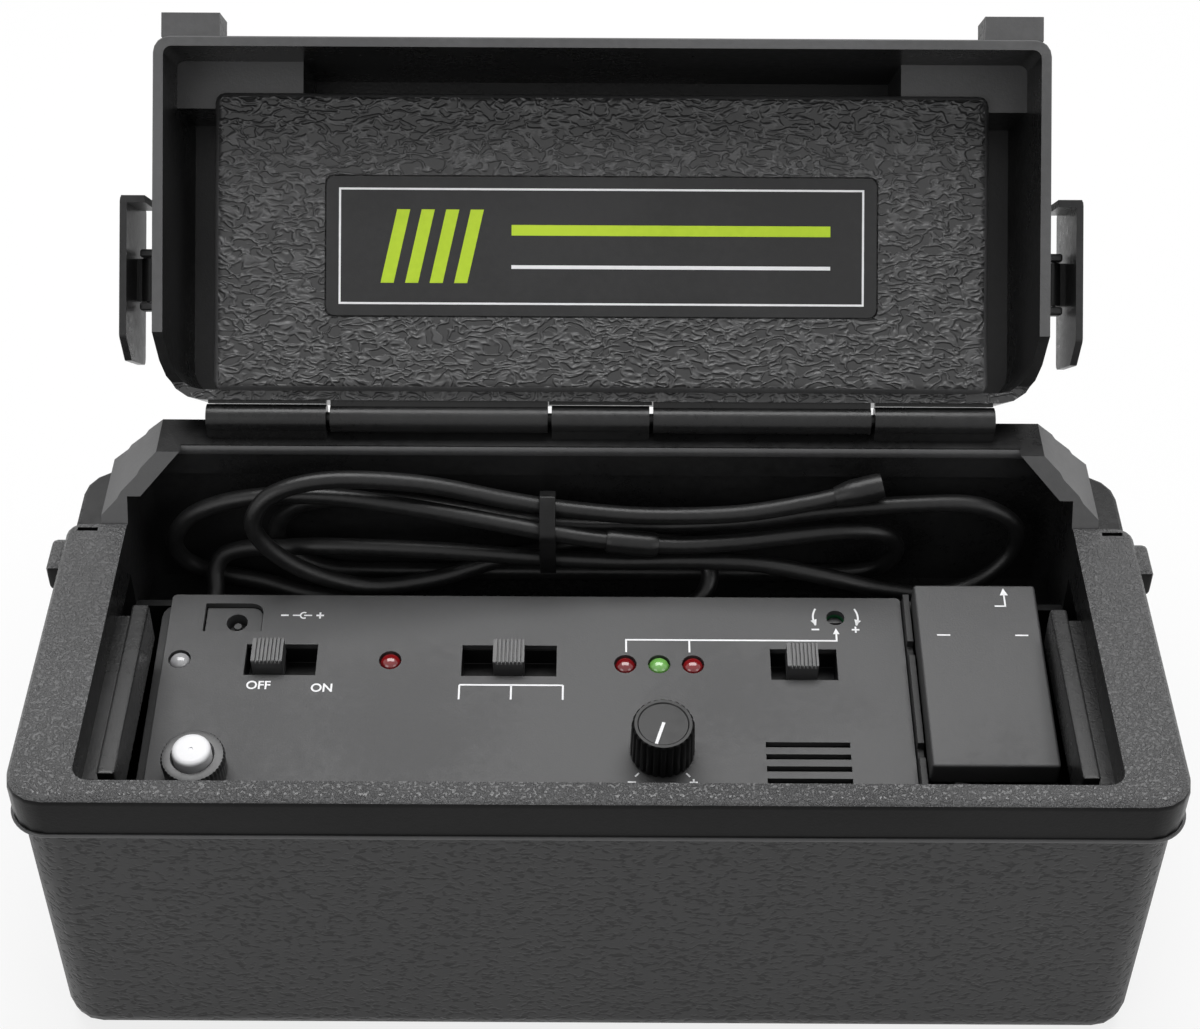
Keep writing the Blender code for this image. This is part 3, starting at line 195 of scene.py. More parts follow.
def piece(name, shape, body, finish, replaced=()):
    """A piece from a shape in millimetres, its faces turned outwards and shaded smooth up to SHARP."""
    mesh = bpy.data.meshes.new(name)
    mesh.from_pydata((np.asarray(shape[0]) * MM).tolist(), [], shape[1])
    bm = bmesh.new()
    bm.from_mesh(mesh)
    bmesh.ops.recalc_face_normals(bm, faces=bm.faces)
    bm.to_mesh(mesh)
    bm.free()
    mesh.shade_smooth()
    mesh.set_sharp_from_angle(angle=SHARP)
    return put(name, mesh, body, [finish], replaced)


def softened(node, body, finishes, edge=0.4, steps=2, zone=None, broad=None):
    """A merged copy of a solid with its sharp edges rounded; zone gives each face's finish from where it is.

    broad is a width and a test of an edge's middle, in mm: the edges that pass are rounded by that width.
    """
    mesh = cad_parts[node].data.copy()
    mesh.name = f"{node}_skin"
    bm = bmesh.new()
    bm.from_mesh(mesh)
    bmesh.ops.remove_doubles(bm, verts=bm.verts, dist=SAME_POINT)
    bmesh.ops.dissolve_limit(bm, angle_limit=COPLANAR, verts=bm.verts, edges=bm.edges)
    width, chosen = broad or (edge, None)
    weight = bm.edges.layers.float.new("bevel_weight_edge")
    for side in bm.edges:
        if side.calc_face_angle(0.0) > ROUNDED:
            middle = (side.verts[0].co + side.verts[1].co) / 2 / MM
            side[weight] = 1.0 if chosen is None or chosen(*middle) else edge / width
    bm.to_mesh(mesh)
    bm.free()
    mesh.shade_smooth()
    mesh.set_sharp_from_angle(angle=SHARP)
    made = put(f"{node}_skin", mesh, body, finishes, [node])
    if zone:
        centres, normals = np.empty((2, len(mesh.polygons) * 3))
        mesh.polygons.foreach_get("center", centres)
        mesh.polygons.foreach_get("normal", normals)
        places = zone(centres.reshape(-1, 3) / MM, normals.reshape(-1, 3))
        mesh.polygons.foreach_set("material_index", places)
    rounding = made.modifiers.new("soft edges", "BEVEL")
    rounding.width = width * MM
    rounding.segments = steps
    rounding.limit_method = "WEIGHT"
    even = made.modifiers.new("flat faces stay flat", "WEIGHTED_NORMAL")
    even.weight = 50
    even.keep_sharp = True
    return made


print("piece helpers ready")

# %% [markdown]
# ## Finishes
# A finish is a small graph of nodes. The same few effects come back in many of them, so each effect is a node
# group with its own sizes: a leather grain, a fine pebble, and the faint unevenness that any handled plastic
# has.

# %% A way to write node graphs
def add_node(tree, kind, inputs=None, **settings):
    """A node with its settings, and each named or numbered input set to a value or joined to a socket."""
    made = tree.nodes.new(kind)
    for key, value in settings.items():
        setattr(made, key, value)
    for key, value in (inputs or {}).items():
        if isinstance(value, bpy.types.NodeSocket):
            tree.links.new(value, made.inputs[key])
        else:
            made.inputs[key].default_value = value
    return made


def math_node(tree, operation, *values, clamp=False):
    """The value of one sum, such as MULTIPLY or SUBTRACT."""
    made = add_node(tree, "ShaderNodeMath", dict(enumerate(values)), operation=operation, use_clamp=clamp)
    return made.outputs[0]


def vector_node(tree, operation, inputs):
    """The value of one sum of vectors."""
    return add_node(tree, "ShaderNodeVectorMath", inputs, operation=operation).outputs[0]


def effect(name, sizes, results):
    """An empty node group with float inputs (name and value) and float outputs, and its two end nodes."""
    tree = bpy.data.node_groups.new(name, "ShaderNodeTree")
    for title, value in sizes:
        tree.interface.new_socket(title, in_out="INPUT", socket_type="NodeSocketFloat").default_value = value
    for title in results:
        tree.interface.new_socket(title, in_out="OUTPUT", socket_type="NodeSocketFloat")
    return tree, tree.nodes.new("NodeGroupInput"), tree.nodes.new("NodeGroupOutput")


def spread(tree, value, low, high, new_low=0.0, new_high=1.0):
    """The value brought smoothly from one range to another."""
    ranges = {"Value": value, "From Min": low, "From Max": high, "To Min": new_low, "To Max": new_high}
    return add_node(tree, "ShaderNodeMapRange", ranges, interpolation_type="SMOOTHSTEP").outputs[0]


def noise(tree, place, scale, output="Fac", **settings):
    """Noise at a place; the settings are its Detail, Roughness and Distortion."""
    return add_node(tree, "ShaderNodeTexNoise", {"Vector": place, "Scale": scale, **settings}).outputs[output]


def object_place(tree):
    """The place on the object, in metres."""
    return add_node(tree, "ShaderNodeTexCoord").outputs["Object"]


print("node helpers ready")

# %% [markdown]
# Leather grain is a field of short raised ridges, longer one way than the other, with creases between them,
# which the finishes paint dark as painted shade. One noise gives it: its coordinates are stretched, so that
# its spots grow long, and bent by a broader noise, so that the ridges wander. Fill says how much of the skin
# stands up. Vein turns the islands into thin ridges, which stand where the noise is near its middle.
# Distances are in metres, so a ridge every 2 mm needs a scale of one over 0.002.

# %% The leather grain and the pebble
WANDER_COARSE = 0.22
WANDER_REACH = 2.2
ISLAND_EDGE = (0.38, 0.60)
VEIN_EDGE = 0.13
PEBBLE_EDGE = (0.36, 0.62)
CLOUD_EDGE = (0.35, 0.65)


def build_leather():
    """Height and creases of leather: noise of stretched and bent coordinates, pulled apart at one level."""
    sizes = [("Grain", 0.0016), ("Wander", 0.8), ("Stretch", 2.2), ("Fill", 0.5), ("Vein", 0.0)]
    tree, start, end = effect("leather_grain", sizes, ["Height", "Crease"])
    grain, wander, long, fill, vein = (start.outputs[name] for name, _ in sizes)
    place = object_place(tree)
    per_metre = math_node(tree, "DIVIDE", 1.0, grain)
    broad = noise(tree, place, math_node(tree, "MULTIPLY", per_metre, WANDER_COARSE), "Color", Detail=1.0)
    centred = vector_node(tree, "SUBTRACT", {0: broad, 1: (0.5, 0.5, 0.5)})
    push = math_node(tree, "MULTIPLY", wander, math_node(tree, "MULTIPLY", grain, WANDER_REACH))
    bent = vector_node(tree, "SCALE", {0: centred, "Scale": push})
    wandering = vector_node(tree, "ADD", {0: place, 1: bent})
    size = add_node(tree, "ShaderNodeCombineXYZ", {0: math_node(tree, "DIVIDE", 1.0, long), 1: 1.0, 2: 1.0})
    stretched = vector_node(tree, "MULTIPLY", {0: wandering, 1: size.outputs[0]})
    ridges = noise(tree, stretched, per_metre, Detail=1.0, Roughness=0.5, Distortion=0.3)
    lifted = math_node(tree, "ADD", ridges, math_node(tree, "SUBTRACT", fill, 0.5))
    islands = spread(tree, lifted, *ISLAND_EDGE)
    from_middle = math_node(tree, "ABSOLUTE", math_node(tree, "SUBTRACT", lifted, 0.5))
    veins = spread(tree, from_middle, 0.0, VEIN_EDGE, 1.0, 0.0)
    height = add_node(tree, "ShaderNodeMix", {"Factor": vein, 2: islands, 3: veins}).outputs[0]
    tree.links.new(height, end.inputs["Height"])
    # Crease, one minus the height, is the mask that the finishes use for painted shade in the hollows.
    tree.links.new(math_node(tree, "SUBTRACT", 1.0, height, clamp=True), end.inputs["Crease"])
    return tree


def build_pebble():
    """Height of a fine sand-cast skin: noise whose middle range is pulled apart into bumps."""
    tree, start, end = effect("pebble_grain", [("Grain", 0.0012)], ["Height"])
    per_metre = math_node(tree, "DIVIDE", 1.0, start.outputs["Grain"])
    bumps = noise(tree, object_place(tree), per_metre, Detail=3.0, Roughness=0.65)
    tree.links.new(spread(tree, bumps, *PEBBLE_EDGE), end.inputs["Height"])
    return tree


def build_handling():
    """A mask from 0 to 1 for the uneven gloss of handled plastic: 0.7 broad clouds + 0.3 fine scuffs."""
    tree, start, end = effect("handling", [("Broad", 0.05), ("Fine", 0.002)], ["Mask"])
    place = object_place(tree)
    clouds, scuffs = (noise(tree, place, math_node(tree, "DIVIDE", 1.0, start.outputs[name]), Detail=4.0)
                      for name in ("Broad", "Fine"))
    mixed = math_node(tree, "ADD", math_node(tree, "MULTIPLY", clouds, 0.7),
                      math_node(tree, "MULTIPLY", scuffs, 0.3))
    tree.links.new(spread(tree, mixed, *CLOUD_EDGE), end.inputs["Mask"])
    return tree


LEATHER, PEBBLE, HANDLING = build_leather(), build_pebble(), build_handling()
print("effects:", LEATHER.name, PEBBLE.name, HANDLING.name)

# %% [markdown]
# Every plastic on the object, and the bare metal too, is one recipe with its own numbers: a dark and a
# lighter tone that the handling mask blends, a gloss that the same mask shifts, and one of the grains as a
# bump. The creases of a grain are painted darker: painted shade, where shadow would gather.

# %% The recipe for plastics
CREASE_SHADE_SHARE = 0.9
CREASE_SHADE_TONE = 0.35


def blend(tree, share, first, second):
    """One colour or another, or a mix of the two by a share from 0 to 1."""
    made = add_node(tree, "ShaderNodeMix", {"Factor": share, 6: first, 7: second}, data_type="RGBA")
    return made.outputs[2]


def finish(name, dark, light, gloss, grain=None, sizes=None, depth=0.1, **settings):
    """A plastic: its tone and roughness lie between two values as the handling mask says; depth is in mm."""
    made = bpy.data.materials.new(name)
    made.use_nodes = True
    tree = made.node_tree
    shader = tree.nodes["Principled BSDF"]
    for key, value in settings.items():
        shader.inputs[key.replace("_", " ")].default_value = value
    mask = add_node(tree, "ShaderNodeGroup", node_tree=HANDLING).outputs["Mask"]
    tone = blend(tree, mask, (*dark, 1.0), (*light, 1.0))
    rough = spread(tree, mask, 0.0, 1.0, gloss[0], gloss[1])
    if grain:
        pattern = add_node(tree, "ShaderNodeGroup", sizes or {}, node_tree=grain)
        # Painted shade: the crease mask blends the tone towards a darker copy of it in the grain's hollows.
        if "Crease" in pattern.outputs:
            share = math_node(tree, "MULTIPLY", pattern.outputs["Crease"], CREASE_SHADE_SHARE)
            tone = blend(tree, share, tone, (*[c * CREASE_SHADE_TONE for c in dark], 1.0))
        bump = add_node(tree, "ShaderNodeBump", {"Height": pattern.outputs["Height"], "Distance": depth * MM,
                                                 "Strength": 1.0})
        tree.links.new(bump.outputs["Normal"], shader.inputs["Normal"])
    tree.links.new(tone, shader.inputs["Base Color"])
    tree.links.new(rough, shader.inputs["Roughness"])
    return made


def grey(level):
    """A neutral tone."""
    return (level, level, level * 1.02)


DULL = {"Specular_IOR_Level": 0.2}
PAD_LEATHER = finish("pad_leather", grey(0.056), grey(0.068), (0.40, 0.50), LEATHER,
                     {"Grain": 0.0019, "Wander": 0.9, "Stretch": 1.9, "Fill": 0.50, "Vein": 1.0}, depth=0.46)
CASE_LEATHER = finish("case_leather", grey(0.027), grey(0.036), (0.42, 0.52), LEATHER,
                      {"Grain": 0.0012, "Wander": 0.8, "Stretch": 1.7, "Fill": 0.57}, depth=0.20,
                      Specular_IOR_Level=0.3)
# Painted light on one black moulding: the lit pebble is a painted highlight, the shaded rim side is painted
# shade.
LIT_PEBBLE = finish("case_pebble_lit", grey(0.062), grey(0.082), (0.24, 0.32), PEBBLE, {"Grain": 0.0012},
                     depth=0.42)
RIM_SIDE_SHADED = finish("rim_side_shaded", grey(0.005), grey(0.009), (0.30, 0.40), PEBBLE, {"Grain": 0.0007}, depth=0.012,
                  Specular_IOR_Level=0.12)
CASE_SMOOTH = finish("case_smooth", grey(0.010), grey(0.018), (0.26, 0.38), PEBBLE, {"Grain": 0.0007},
                     depth=0.012, Specular_IOR_Level=0.3)
# The sheen grey is a painted sheen: the black plastic shown lighter where light from above falls on it.
SHEEN_GREY = finish("sheen_grey_smooth", grey(0.055), grey(0.072), (0.34, 0.44), PEBBLE, {"Grain": 0.0007},
                  depth=0.012)
PANEL_MATT = finish("panel_matt", grey(0.047), grey(0.056), (0.50, 0.60), PEBBLE, {"Grain": 0.0005},
                    depth=0.01, Specular_IOR_Level=0.4)
PLATE_MATT = finish("plate_matt", grey(0.026), grey(0.034), (0.42, 0.52), PEBBLE, {"Grain": 0.0005},
                    depth=0.008, **DULL)
TUB_MATT = finish("tub_matt", grey(0.020), grey(0.030), (0.40, 0.52), PEBBLE, {"Grain": 0.0006},
                  depth=0.012, **DULL)
SWITCH_PLASTIC = finish("switch_plastic", grey(0.006), grey(0.010), (0.28, 0.40), **DULL)
BUTTON_PLASTIC = finish("button_plastic", grey(0.040), grey(0.055), (0.34, 0.46))
CORD_RUBBER = finish("cord_rubber", grey(0.006), grey(0.012), (0.34, 0.46), PEBBLE, {"Grain": 0.0009},
                     depth=0.015, Specular_IOR_Level=0.3)
WHITE_PRINT = finish("white_print", grey(0.78), grey(0.84), (0.5, 0.6))
LIME_PRINT = finish("lime_print", (0.42, 0.60, 0.02), (0.50, 0.68, 0.03), (0.45, 0.55))
CAP_WHITE = finish("cap_white", grey(0.74), grey(0.82), (0.35, 0.5))
STEEL = finish("bright_steel", grey(0.55), grey(0.68), (0.22, 0.36), Metallic=1.0)
BOARD = finish("board_green", (0.02, 0.13, 0.05), (0.03, 0.18, 0.07), (0.3, 0.45))
RED_LENS = finish("red_lens", (0.16, 0.004, 0.006), (0.22, 0.008, 0.01), (0.06, 0.12), Coat_Weight=0.6)
GREEN_LENS = finish("green_lens", (0.13, 0.36, 0.07), (0.18, 0.44, 0.10), (0.06, 0.12), Coat_Weight=0.6)
CLEAR_LENS = finish("clear_lens", grey(0.34), grey(0.42), (0.08, 0.16), Coat_Weight=0.6)
print("finishes:", len(bpy.data.materials))

# %% [markdown]
# ## The cord
# A cord is a fixed length of rubber, so it is drawn first as a line. The points below are where it passes,
# from its gland in the trough's wall, round the coil and out to its boot. A Catmull-Rom curve joins them:
# between two points it is a cubic whose slope at each is half the step between that point's neighbours.

# %% The cord's line
CORD_R = 2.2
CORD_STOPS = np.array([
    (-98.0, 31.4, 60.2), (-98.0, 33.6, 60.7), (-98.0, 36.4, 62.4), (-98.0, 39.6, 66.2), (-95.6, 41.6, 69.6),
    (-89.5, 41.8, 71.8), (-81.0, 40.4, 73.4), (-68.0, 38.6, 75.6), (-43.0, 37.0, 76.0), (-15.0, 36.5, 74.0),
    (4.0, 36.2, 73.2), (23.0, 35.4, 74.2), (40.0, 34.6, 74.0), (58.0, 34.0, 70.0), (73.0, 34.5, 64.9),
    (86.0, 36.0, 62.4), (97.5, 38.5, 65.4), (104.5, 40.5, 73.2), (104.0, 41.0, 82.0), (94.0, 41.0, 88.6),
    (78.0, 41.0, 88.8), (56.0, 41.0, 86.4), (35.0, 41.2, 82.5), (10.0, 42.0, 80.0), (-14.0, 42.2, 80.5),
    (-40.0, 42.6, 85.5), (-58.0, 43.2, 87.5), (-73.0, 44.6, 85.2), (-81.5, 45.6, 77.5), (-81.0, 45.6, 68.5),
    (-72.0, 45.6, 61.8), (-58.0, 45.6, 60.4), (-20.0, 45.6, 60.4), (20.0, 45.6, 60.4), (46.0, 45.6, 60.4),
    (62.0, 45.2, 60.9), (71.2, 43.8, 64.2), (75.2, 41.8, 72.0), (71.8, 39.6, 79.6), (62.0, 37.8, 82.6),
    (48.0, 36.6, 81.9), (34.0, 35.6, 80.6), (18.0, 34.8, 80.2), (0.0, 34.6, 82.2), (-14.0, 34.5, 85.0),
    (-42.0, 36.0, 90.5), (-66.0, 38.5, 92.6), (-86.0, 39.8, 91.2), (-101.0, 40.2, 85.5), (-107.5, 40.6, 76.0),
    (-106.0, 42.4, 67.0), (-98.0, 43.6, 61.2), (-87.0, 41.4, 60.4), (-70.0, 35.6, 60.4), (-40.0, 32.2, 60.4),
    (-4.0, 32.0, 60.4), (18.0, 32.0, 60.4), (25.2, 33.9, 62.0), (28.2, 38.8, 66.0), (25.2, 43.4, 70.2),
    (18.0, 45.3, 71.9), (0.0, 45.2, 71.9), (-24.0, 42.0, 68.5), (-42.0, 37.5, 65.4), (-58.0, 34.0, 66.0),
    (-72.0, 31.9, 72.5), (-82.0, 31.8, 81.0), (-85.5, 32.4, 89.5), (-80.0, 34.4, 97.2), (-66.0, 36.5, 100.0),
    (-44.0, 38.0, 97.5), (-22.0, 38.6, 91.5), (-6.0, 38.4, 88.6), (12.0, 37.6, 87.6), (34.0, 37.5, 88.5),
    (52.0, 38.5, 91.5), (64.0, 39.5, 94.5)])


def smooth_line(stops, steps=10):
    """The Catmull-Rom curve: half of (2b + (c-a)t + (2a-5b+4c-d)t^2 + (3b-a-3c+d)t^3) between b and c."""
    ends = np.vstack([2 * stops[0] - stops[1], stops, 2 * stops[-1] - stops[-2]])
    a, b, c, d = (ends[k:len(ends) - 3 + k, None] for k in range(4))
    t = np.linspace(0.0, 1.0, steps, endpoint=False)[None, :, None]
    square, cube = 2 * a - 5 * b + 4 * c - d, 3 * b - a - 3 * c + d
    runs = 0.5 * (2 * b + (c - a) * t + square * t ** 2 + cube * t ** 3)
    return np.vstack([runs.reshape(-1, 3), stops[-1:]])


def length_along(line):
    """The distance along a line at each of its points."""
    return np.concatenate([[0.0], np.cumsum(np.linalg.norm(np.diff(line, axis=0), axis=1))])


cord_line = smooth_line(CORD_STOPS)
along = length_along(cord_line)
CORD_LONG = along[-1]
print("cord:", round(CORD_LONG), "mm, diameter", 2 * CORD_R, "mm")

# %% [markdown]
# The line becomes a round cord as a Blender curve with a bevel, one open spline. The sleeve, the boot and the
# gland are pipes: rings of points carried along a stretch of the same line, square to it, so they sit on the
# cord however it bends.

# %% The cord and what is on it
def pipe(line, radii, inner, sides=32):
    """A wall between two radii carried along a line: ring = line + r (cos t side + sin t up), out and in."""
    line = np.asarray(line, dtype=float)
    ahead = np.gradient(line, axis=0)
    ahead /= np.linalg.norm(ahead, axis=1)[:, None]
    side = np.cross(ahead, (0.12, 0.23, 1.0))
    side /= np.linalg.norm(side, axis=1)[:, None]
    up = np.cross(ahead, side)
    turn = np.linspace(0.0, 2 * math.pi, sides, endpoint=False)
    spoke = np.cos(turn)[None, :, None] * side[:, None] + np.sin(turn)[None, :, None] * up[:, None]
    outside = line[:, None] + spoke * np.asarray(radii)[:, None, None]
    inside = line[:, None] + spoke * inner
    return skin(np.vstack([outside, inside[::-1]]), loop=True)


def stretch(first, last, steps):
    """Evenly spaced points of the cord's line between two lengths along it, straight on past its end."""
    at = np.linspace(first, last, steps)
    spots = np.stack([np.interp(at, along, cord_line[:, k]) for k in range(3)], axis=1)
    heading = cord_line[-1] - cord_line[-3]
    return spots + np.maximum(at - CORD_LONG, 0.0)[:, None] * heading / np.linalg.norm(heading)


curve = bpy.data.curves.new("probe_cord_line", "CURVE")
curve.dimensions = "3D"
curve.bevel_depth = CORD_R * MM
curve.bevel_resolution = 5
curve.use_fill_caps = True
spline = curve.splines.new("POLY")
spline.points.add(len(cord_line) - 1)
spline.points.foreach_set("co", np.column_stack([cord_line * MM, np.ones(len(cord_line))]).ravel())
cord = add_object("probe_cord_line", curve)
curve.materials.append(CORD_RUBBER)
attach(cord, "base")
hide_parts("probe_cord")

BOOT_HALF = 6.0
BORE = CORD_R + 0.15
SLEEVE_LONG = 13.0
SLEEVE_BY = np.array([14.0, 34.8, 80.5])
# Several loops pass this x, so y and z count more in finding the sleeve's place on the line.
OFF_BY = np.array([1.0, 9.0, 9.0])
sleeve_at = along[np.argmin(np.abs(cord_line - SLEEVE_BY) @ OFF_BY)]
sleeve = piece("cord_sleeve_skin", pipe(stretch(sleeve_at, sleeve_at + SLEEVE_LONG, 14),
                                        [2.7, 3.05, 3.1] + [3.1] * 8 + [3.1, 3.05, 2.7], BORE),
               "base", CORD_RUBBER, ["cord_sleeve"])
boot = piece("probe_boot_skin", pipe(stretch(CORD_LONG - BOOT_HALF, CORD_LONG + BOOT_HALF, 13),
                                     [2.5, 2.7, 2.9, 3.1, 3.25] + [3.3] * 6 + [3.25, 3.0], BORE),
             "base", CORD_RUBBER, ["probe_boot"])
gland_line = np.array([(CORD_STOPS[0, 0], y, CORD_STOPS[0, 2])
                       for y in (24.0, 29.4, 29.6, 29.7, 30.9, 31.2, 31.4)])
piece("cord_gland_skin", pipe(gland_line, [3.2, 3.2, 3.2, 4.0, 4.0, 3.9, 3.6], BORE), "base",
      CORD_RUBBER, ["cord_gland"])
tie = softened("cord_tie", "base", [SWITCH_PLASTIC], edge=0.25)
print("sleeve starts", round(sleeve_at), "mm along the cord")

# %% [markdown]
# ## The case
# One moulding shows several skins: a leather grain on the walls, a pebble on top of the raised rim and arms,
# painted lighter there as a highlight of the lamp overhead, a smooth dark one on the rim's sides, painted
# darker as shade, black plastic inside and on the bridge, and a greyer one on the shoulders, which is a
# painted sheen.
# Each face of the softened solid gets its skin from where its centre lies.

# %% Case skins by place
CAVITY_HALF, CAVITY_FRONT, CAVITY_REAR, FLOOR_TOP = 127.0, -51.5, 52.2, 2.0
RIM_LOW, RIM_INSIDE, RIM_FRONT, ARM_END = 76.0, 116.6, -49.9, 34.0
BRIDGE_FRONT, BRIDGE_LOW, SHOULDER_FROM = 33.4, 88.5, 97.5
RIM_TOP, FACES_UP = 84.0, 0.4


def case_zone(centre, normal):
    """0 leather, 1 pebble painted lighter as highlight, 2 smooth black, 3 shoulders in painted sheen grey, 4
    the rim's sides painted darker as shade, by where a face lies and which way it faces.
    """
    x, y, z = np.abs(centre[:, 0]), centre[:, 1], centre[:, 2]
    inside = (x < CAVITY_HALF) & (y > CAVITY_FRONT) & (y < CAVITY_REAR) & (z > FLOOR_TOP)
    raised = (y < ARM_END) & (z > RIM_LOW) & ((x > RIM_INSIDE) | (y < RIM_FRONT))
    top = (y > BRIDGE_FRONT) & (z > BRIDGE_LOW)
    up = normal[:, 2] > FACES_UP
    zones = np.zeros(len(centre), dtype=np.int32)
    zones[inside | top] = 2
    # Raised faces not facing up take painted shade, up-facing tops the painted highlight, the shoulders the
    # painted sheen.
    zones[raised & ~up] = 4
    zones[(y < ARM_END) & (z > RIM_TOP) & up] = 1
    zones[top & (x > SHOULDER_FROM)] = 3
    return zones


LIP_HALF, LIP_Y, LIP_NEAR, LIP_LOW, LIP_WIDE = 60.0, 45.3, 0.2, 103.0, 2.4


def bridge_lip(x, y, z):
    """The long upper edge at the front of the bridge, which is a soft roll."""
    return abs(x) < LIP_HALF and abs(y - LIP_Y) < LIP_NEAR and z > LIP_LOW


case = softened("base_case", "base",
                [CASE_LEATHER, LIT_PEBBLE, CASE_SMOOTH, SHEEN_GREY, RIM_SIDE_SHADED],
                edge=0.5, steps=3, zone=case_zone, broad=(LIP_WIDE, bridge_lip))
print("case faces by skin:", np.bincount([p.material_index for p in case.data.polygons]))

# %% [markdown]
# Where the rim meets the wall below it, the moulding has a fine bead. It is a rod carried along the rim's
# lower edge: along one arm, round a corner of 9 mm, across the front, and back along the other arm. The front
# of the bridge has a thicker roll along its upper edge, a rod made oval by a smaller scale from front to
# rear.

# %% Bead and roll
def rod(line, radius, sides=12):
    """A solid round bar along a line: ring = line + r (cos t side + sin t up), both ends closed."""
    line = np.asarray(line, dtype=float)
    ahead = np.gradient(line, axis=0)
    ahead /= np.linalg.norm(ahead, axis=1)[:, None]
    side = np.cross(ahead, (0.0, 0.0, 1.0))
    side /= np.linalg.norm(side, axis=1)[:, None]
    up = np.cross(side, ahead)
    turn = np.linspace(0.0, 2 * math.pi, sides, endpoint=False)[None, :, None]
    return skin(line[:, None] + radius * (np.cos(turn) * side[:, None] + np.sin(turn) * up[:, None]))


RIM_X, RIM_Y, RIM_TURN, BEAD_Z = 131.4, -55.9, 9.0, 76.9
BEAD_END, BEAD_R = 30.8, 0.5
left_turn, right_turn = (arc(side * (RIM_X - RIM_TURN), RIM_Y + RIM_TURN, RIM_TURN, first, first + 90, 12)
                         for side, first in ((-1, 180), (1, 270)))
bead_line = np.vstack([[(-RIM_X, BEAD_END), (-RIM_X, 0.0)], left_turn, right_turn,
                       [(RIM_X, 0.0), (RIM_X, BEAD_END)]])
bead = rod(np.column_stack([bead_line, np.full(len(bead_line), BEAD_Z)]), BEAD_R)
# The bead takes the sheen grey: a painted highlight along the rim's lower edge.
piece("rim_bead", bead, "base", SHEEN_GREY)

ROLL_HALF, ROLL_Y, ROLL_Z, ROLL_R, ROLL_OVAL = 105.5, 45.7, 101.9, 1.5, 0.75
spots, faces = rod([(-ROLL_HALF, 0.0, 0.0), (0.0, 0.0, 0.0), (ROLL_HALF, 0.0, 0.0)], ROLL_R, 20)
spots = spots * np.array([1.0, ROLL_OVAL, 1.0]) + np.array([0.0, ROLL_Y, ROLL_Z])
# The roll takes the sheen grey: a painted highlight where its curve meets the light from above.
piece("bridge_roll", (spots, faces), "base", SHEEN_GREY)
print("bead points:", len(bead_line), "roll:", 2 * ROLL_HALF, "mm")

# %% [markdown]
# ## The lid
# The lid was modelled shut and turned open about its hinge, so its own directions are d, forward from the
# hinge, and h, up. A point of the lid is found from them by one turn of 133 degrees. Beside the case's three
# knuckles, dark strips on its rear wall hide the background in the gap between the two: painted shade, a
# dark stand-in for the shadow there.

# %% Lid skins by place
HINGE = np.array([0.0, 51.0, 107.5])
OPENING = 133.0
LID_TURN = Matrix.Translation(HINGE) @ Matrix.Rotation(math.radians(-OPENING), 4, "X")
PAD_SIDE, PAD_REAR, PAD_FRONT, PAD_LOW, PAD_HIGH = 95.1, 6.3, 79.9, -6.0, 24.0
LID_SIDE, LID_FRONT, LID_TOP = 106.8, 89.8, 26.2


def lid_zone(centre, normal):
    """0 the pad's leather, 1 leather outside, 2 black inside, 3 painted sheen grey on the rim, brackets and
    pad's edges.
    """
    turned = np.linalg.inv(np.array(LID_TURN))
    local = centre @ turned[:3, :3].T + turned[:3, 3]
    x, d, h = np.abs(local[:, 0]), -local[:, 1], local[:, 2]
    pad = (x < PAD_SIDE) & (d > PAD_REAR) & (d < PAD_FRONT) & (h > PAD_LOW) & (h < PAD_HIGH)
    outside = (x > LID_SIDE) | (d > LID_FRONT) | (h > LID_TOP)
    upward = normal @ turned[2, :3]
    zones = np.full(len(centre), 2, dtype=np.int32)
    zones[outside] = 1
    # Faces that turn toward the overhead light when the lid is open take the sheen grey: a painted highlight.
    zones[~pad & (x > 90.0) & (upward < -0.7)] = 3
    zones[((d > 84.0) | (h < -18.0)) & (h < 23.0) & (upward < -0.2)] = 3
    zones[pad & (upward > -0.9)] = 3
    zones[pad & (upward <= -0.9)] = 0
    return zones


lid = softened("lid", "lid", [PAD_LEATHER, CASE_LEATHER, CASE_SMOOTH, SHEEN_GREY],
               edge=0.6, steps=3, zone=lid_zone)
softened("lid_plate", "lid", [PLATE_MATT], edge=0.15)
for side in ("left", "right"):
    softened(f"latch_{side}", f"latch_{side}", [CASE_SMOOTH], edge=0.35)
    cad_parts[f"latch_{side}_pin"].data.materials[0] = STEEL
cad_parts["hinge_pin"].data.materials[0] = SWITCH_PLASTIC
# Painted shade: dark strips, one by each knuckle, stand in for the shadow in the gap behind it.
STRIP_NEAR, STRIP_FAR, STRIP_LOW, STRIP_HIGH = 3.52, 4.6, -0.6, 1.6
for name, left, right in (("left", -96.8, -67.7), ("middle", -12.7, 12.7), ("right", 67.7, 96.8)):
    outline = [(left, -STRIP_FAR), (right, -STRIP_FAR), (right, -STRIP_NEAR), (left, -STRIP_NEAR)]
    strip = moved(prism(outline, STRIP_LOW, STRIP_HIGH), LID_TURN)
    piece(f"gap_shade_by_{name}_knuckle", strip, "lid", CASE_SMOOTH)
print("lid faces by skin:", np.bincount([p.material_index for p in lid.data.polygons]))

# %% [markdown]
# ## A plain design for the lid's plate
# Printed marks are thin: here each one is an outline drawn by a pen of a given width and raised by a few
# hundredths of a millimetre. The plate has a white border, four slanted lime bars and two lines.

# %% Marks on the lid's plate
INK = 0.05
PLATE_FACE = -4.9


def inked(outlines, level=0.0):
    """One shape from flat outlines, each raised by the thickness of the ink."""
    return together(*[prism(outline, level, level + INK) for outline in outlines])


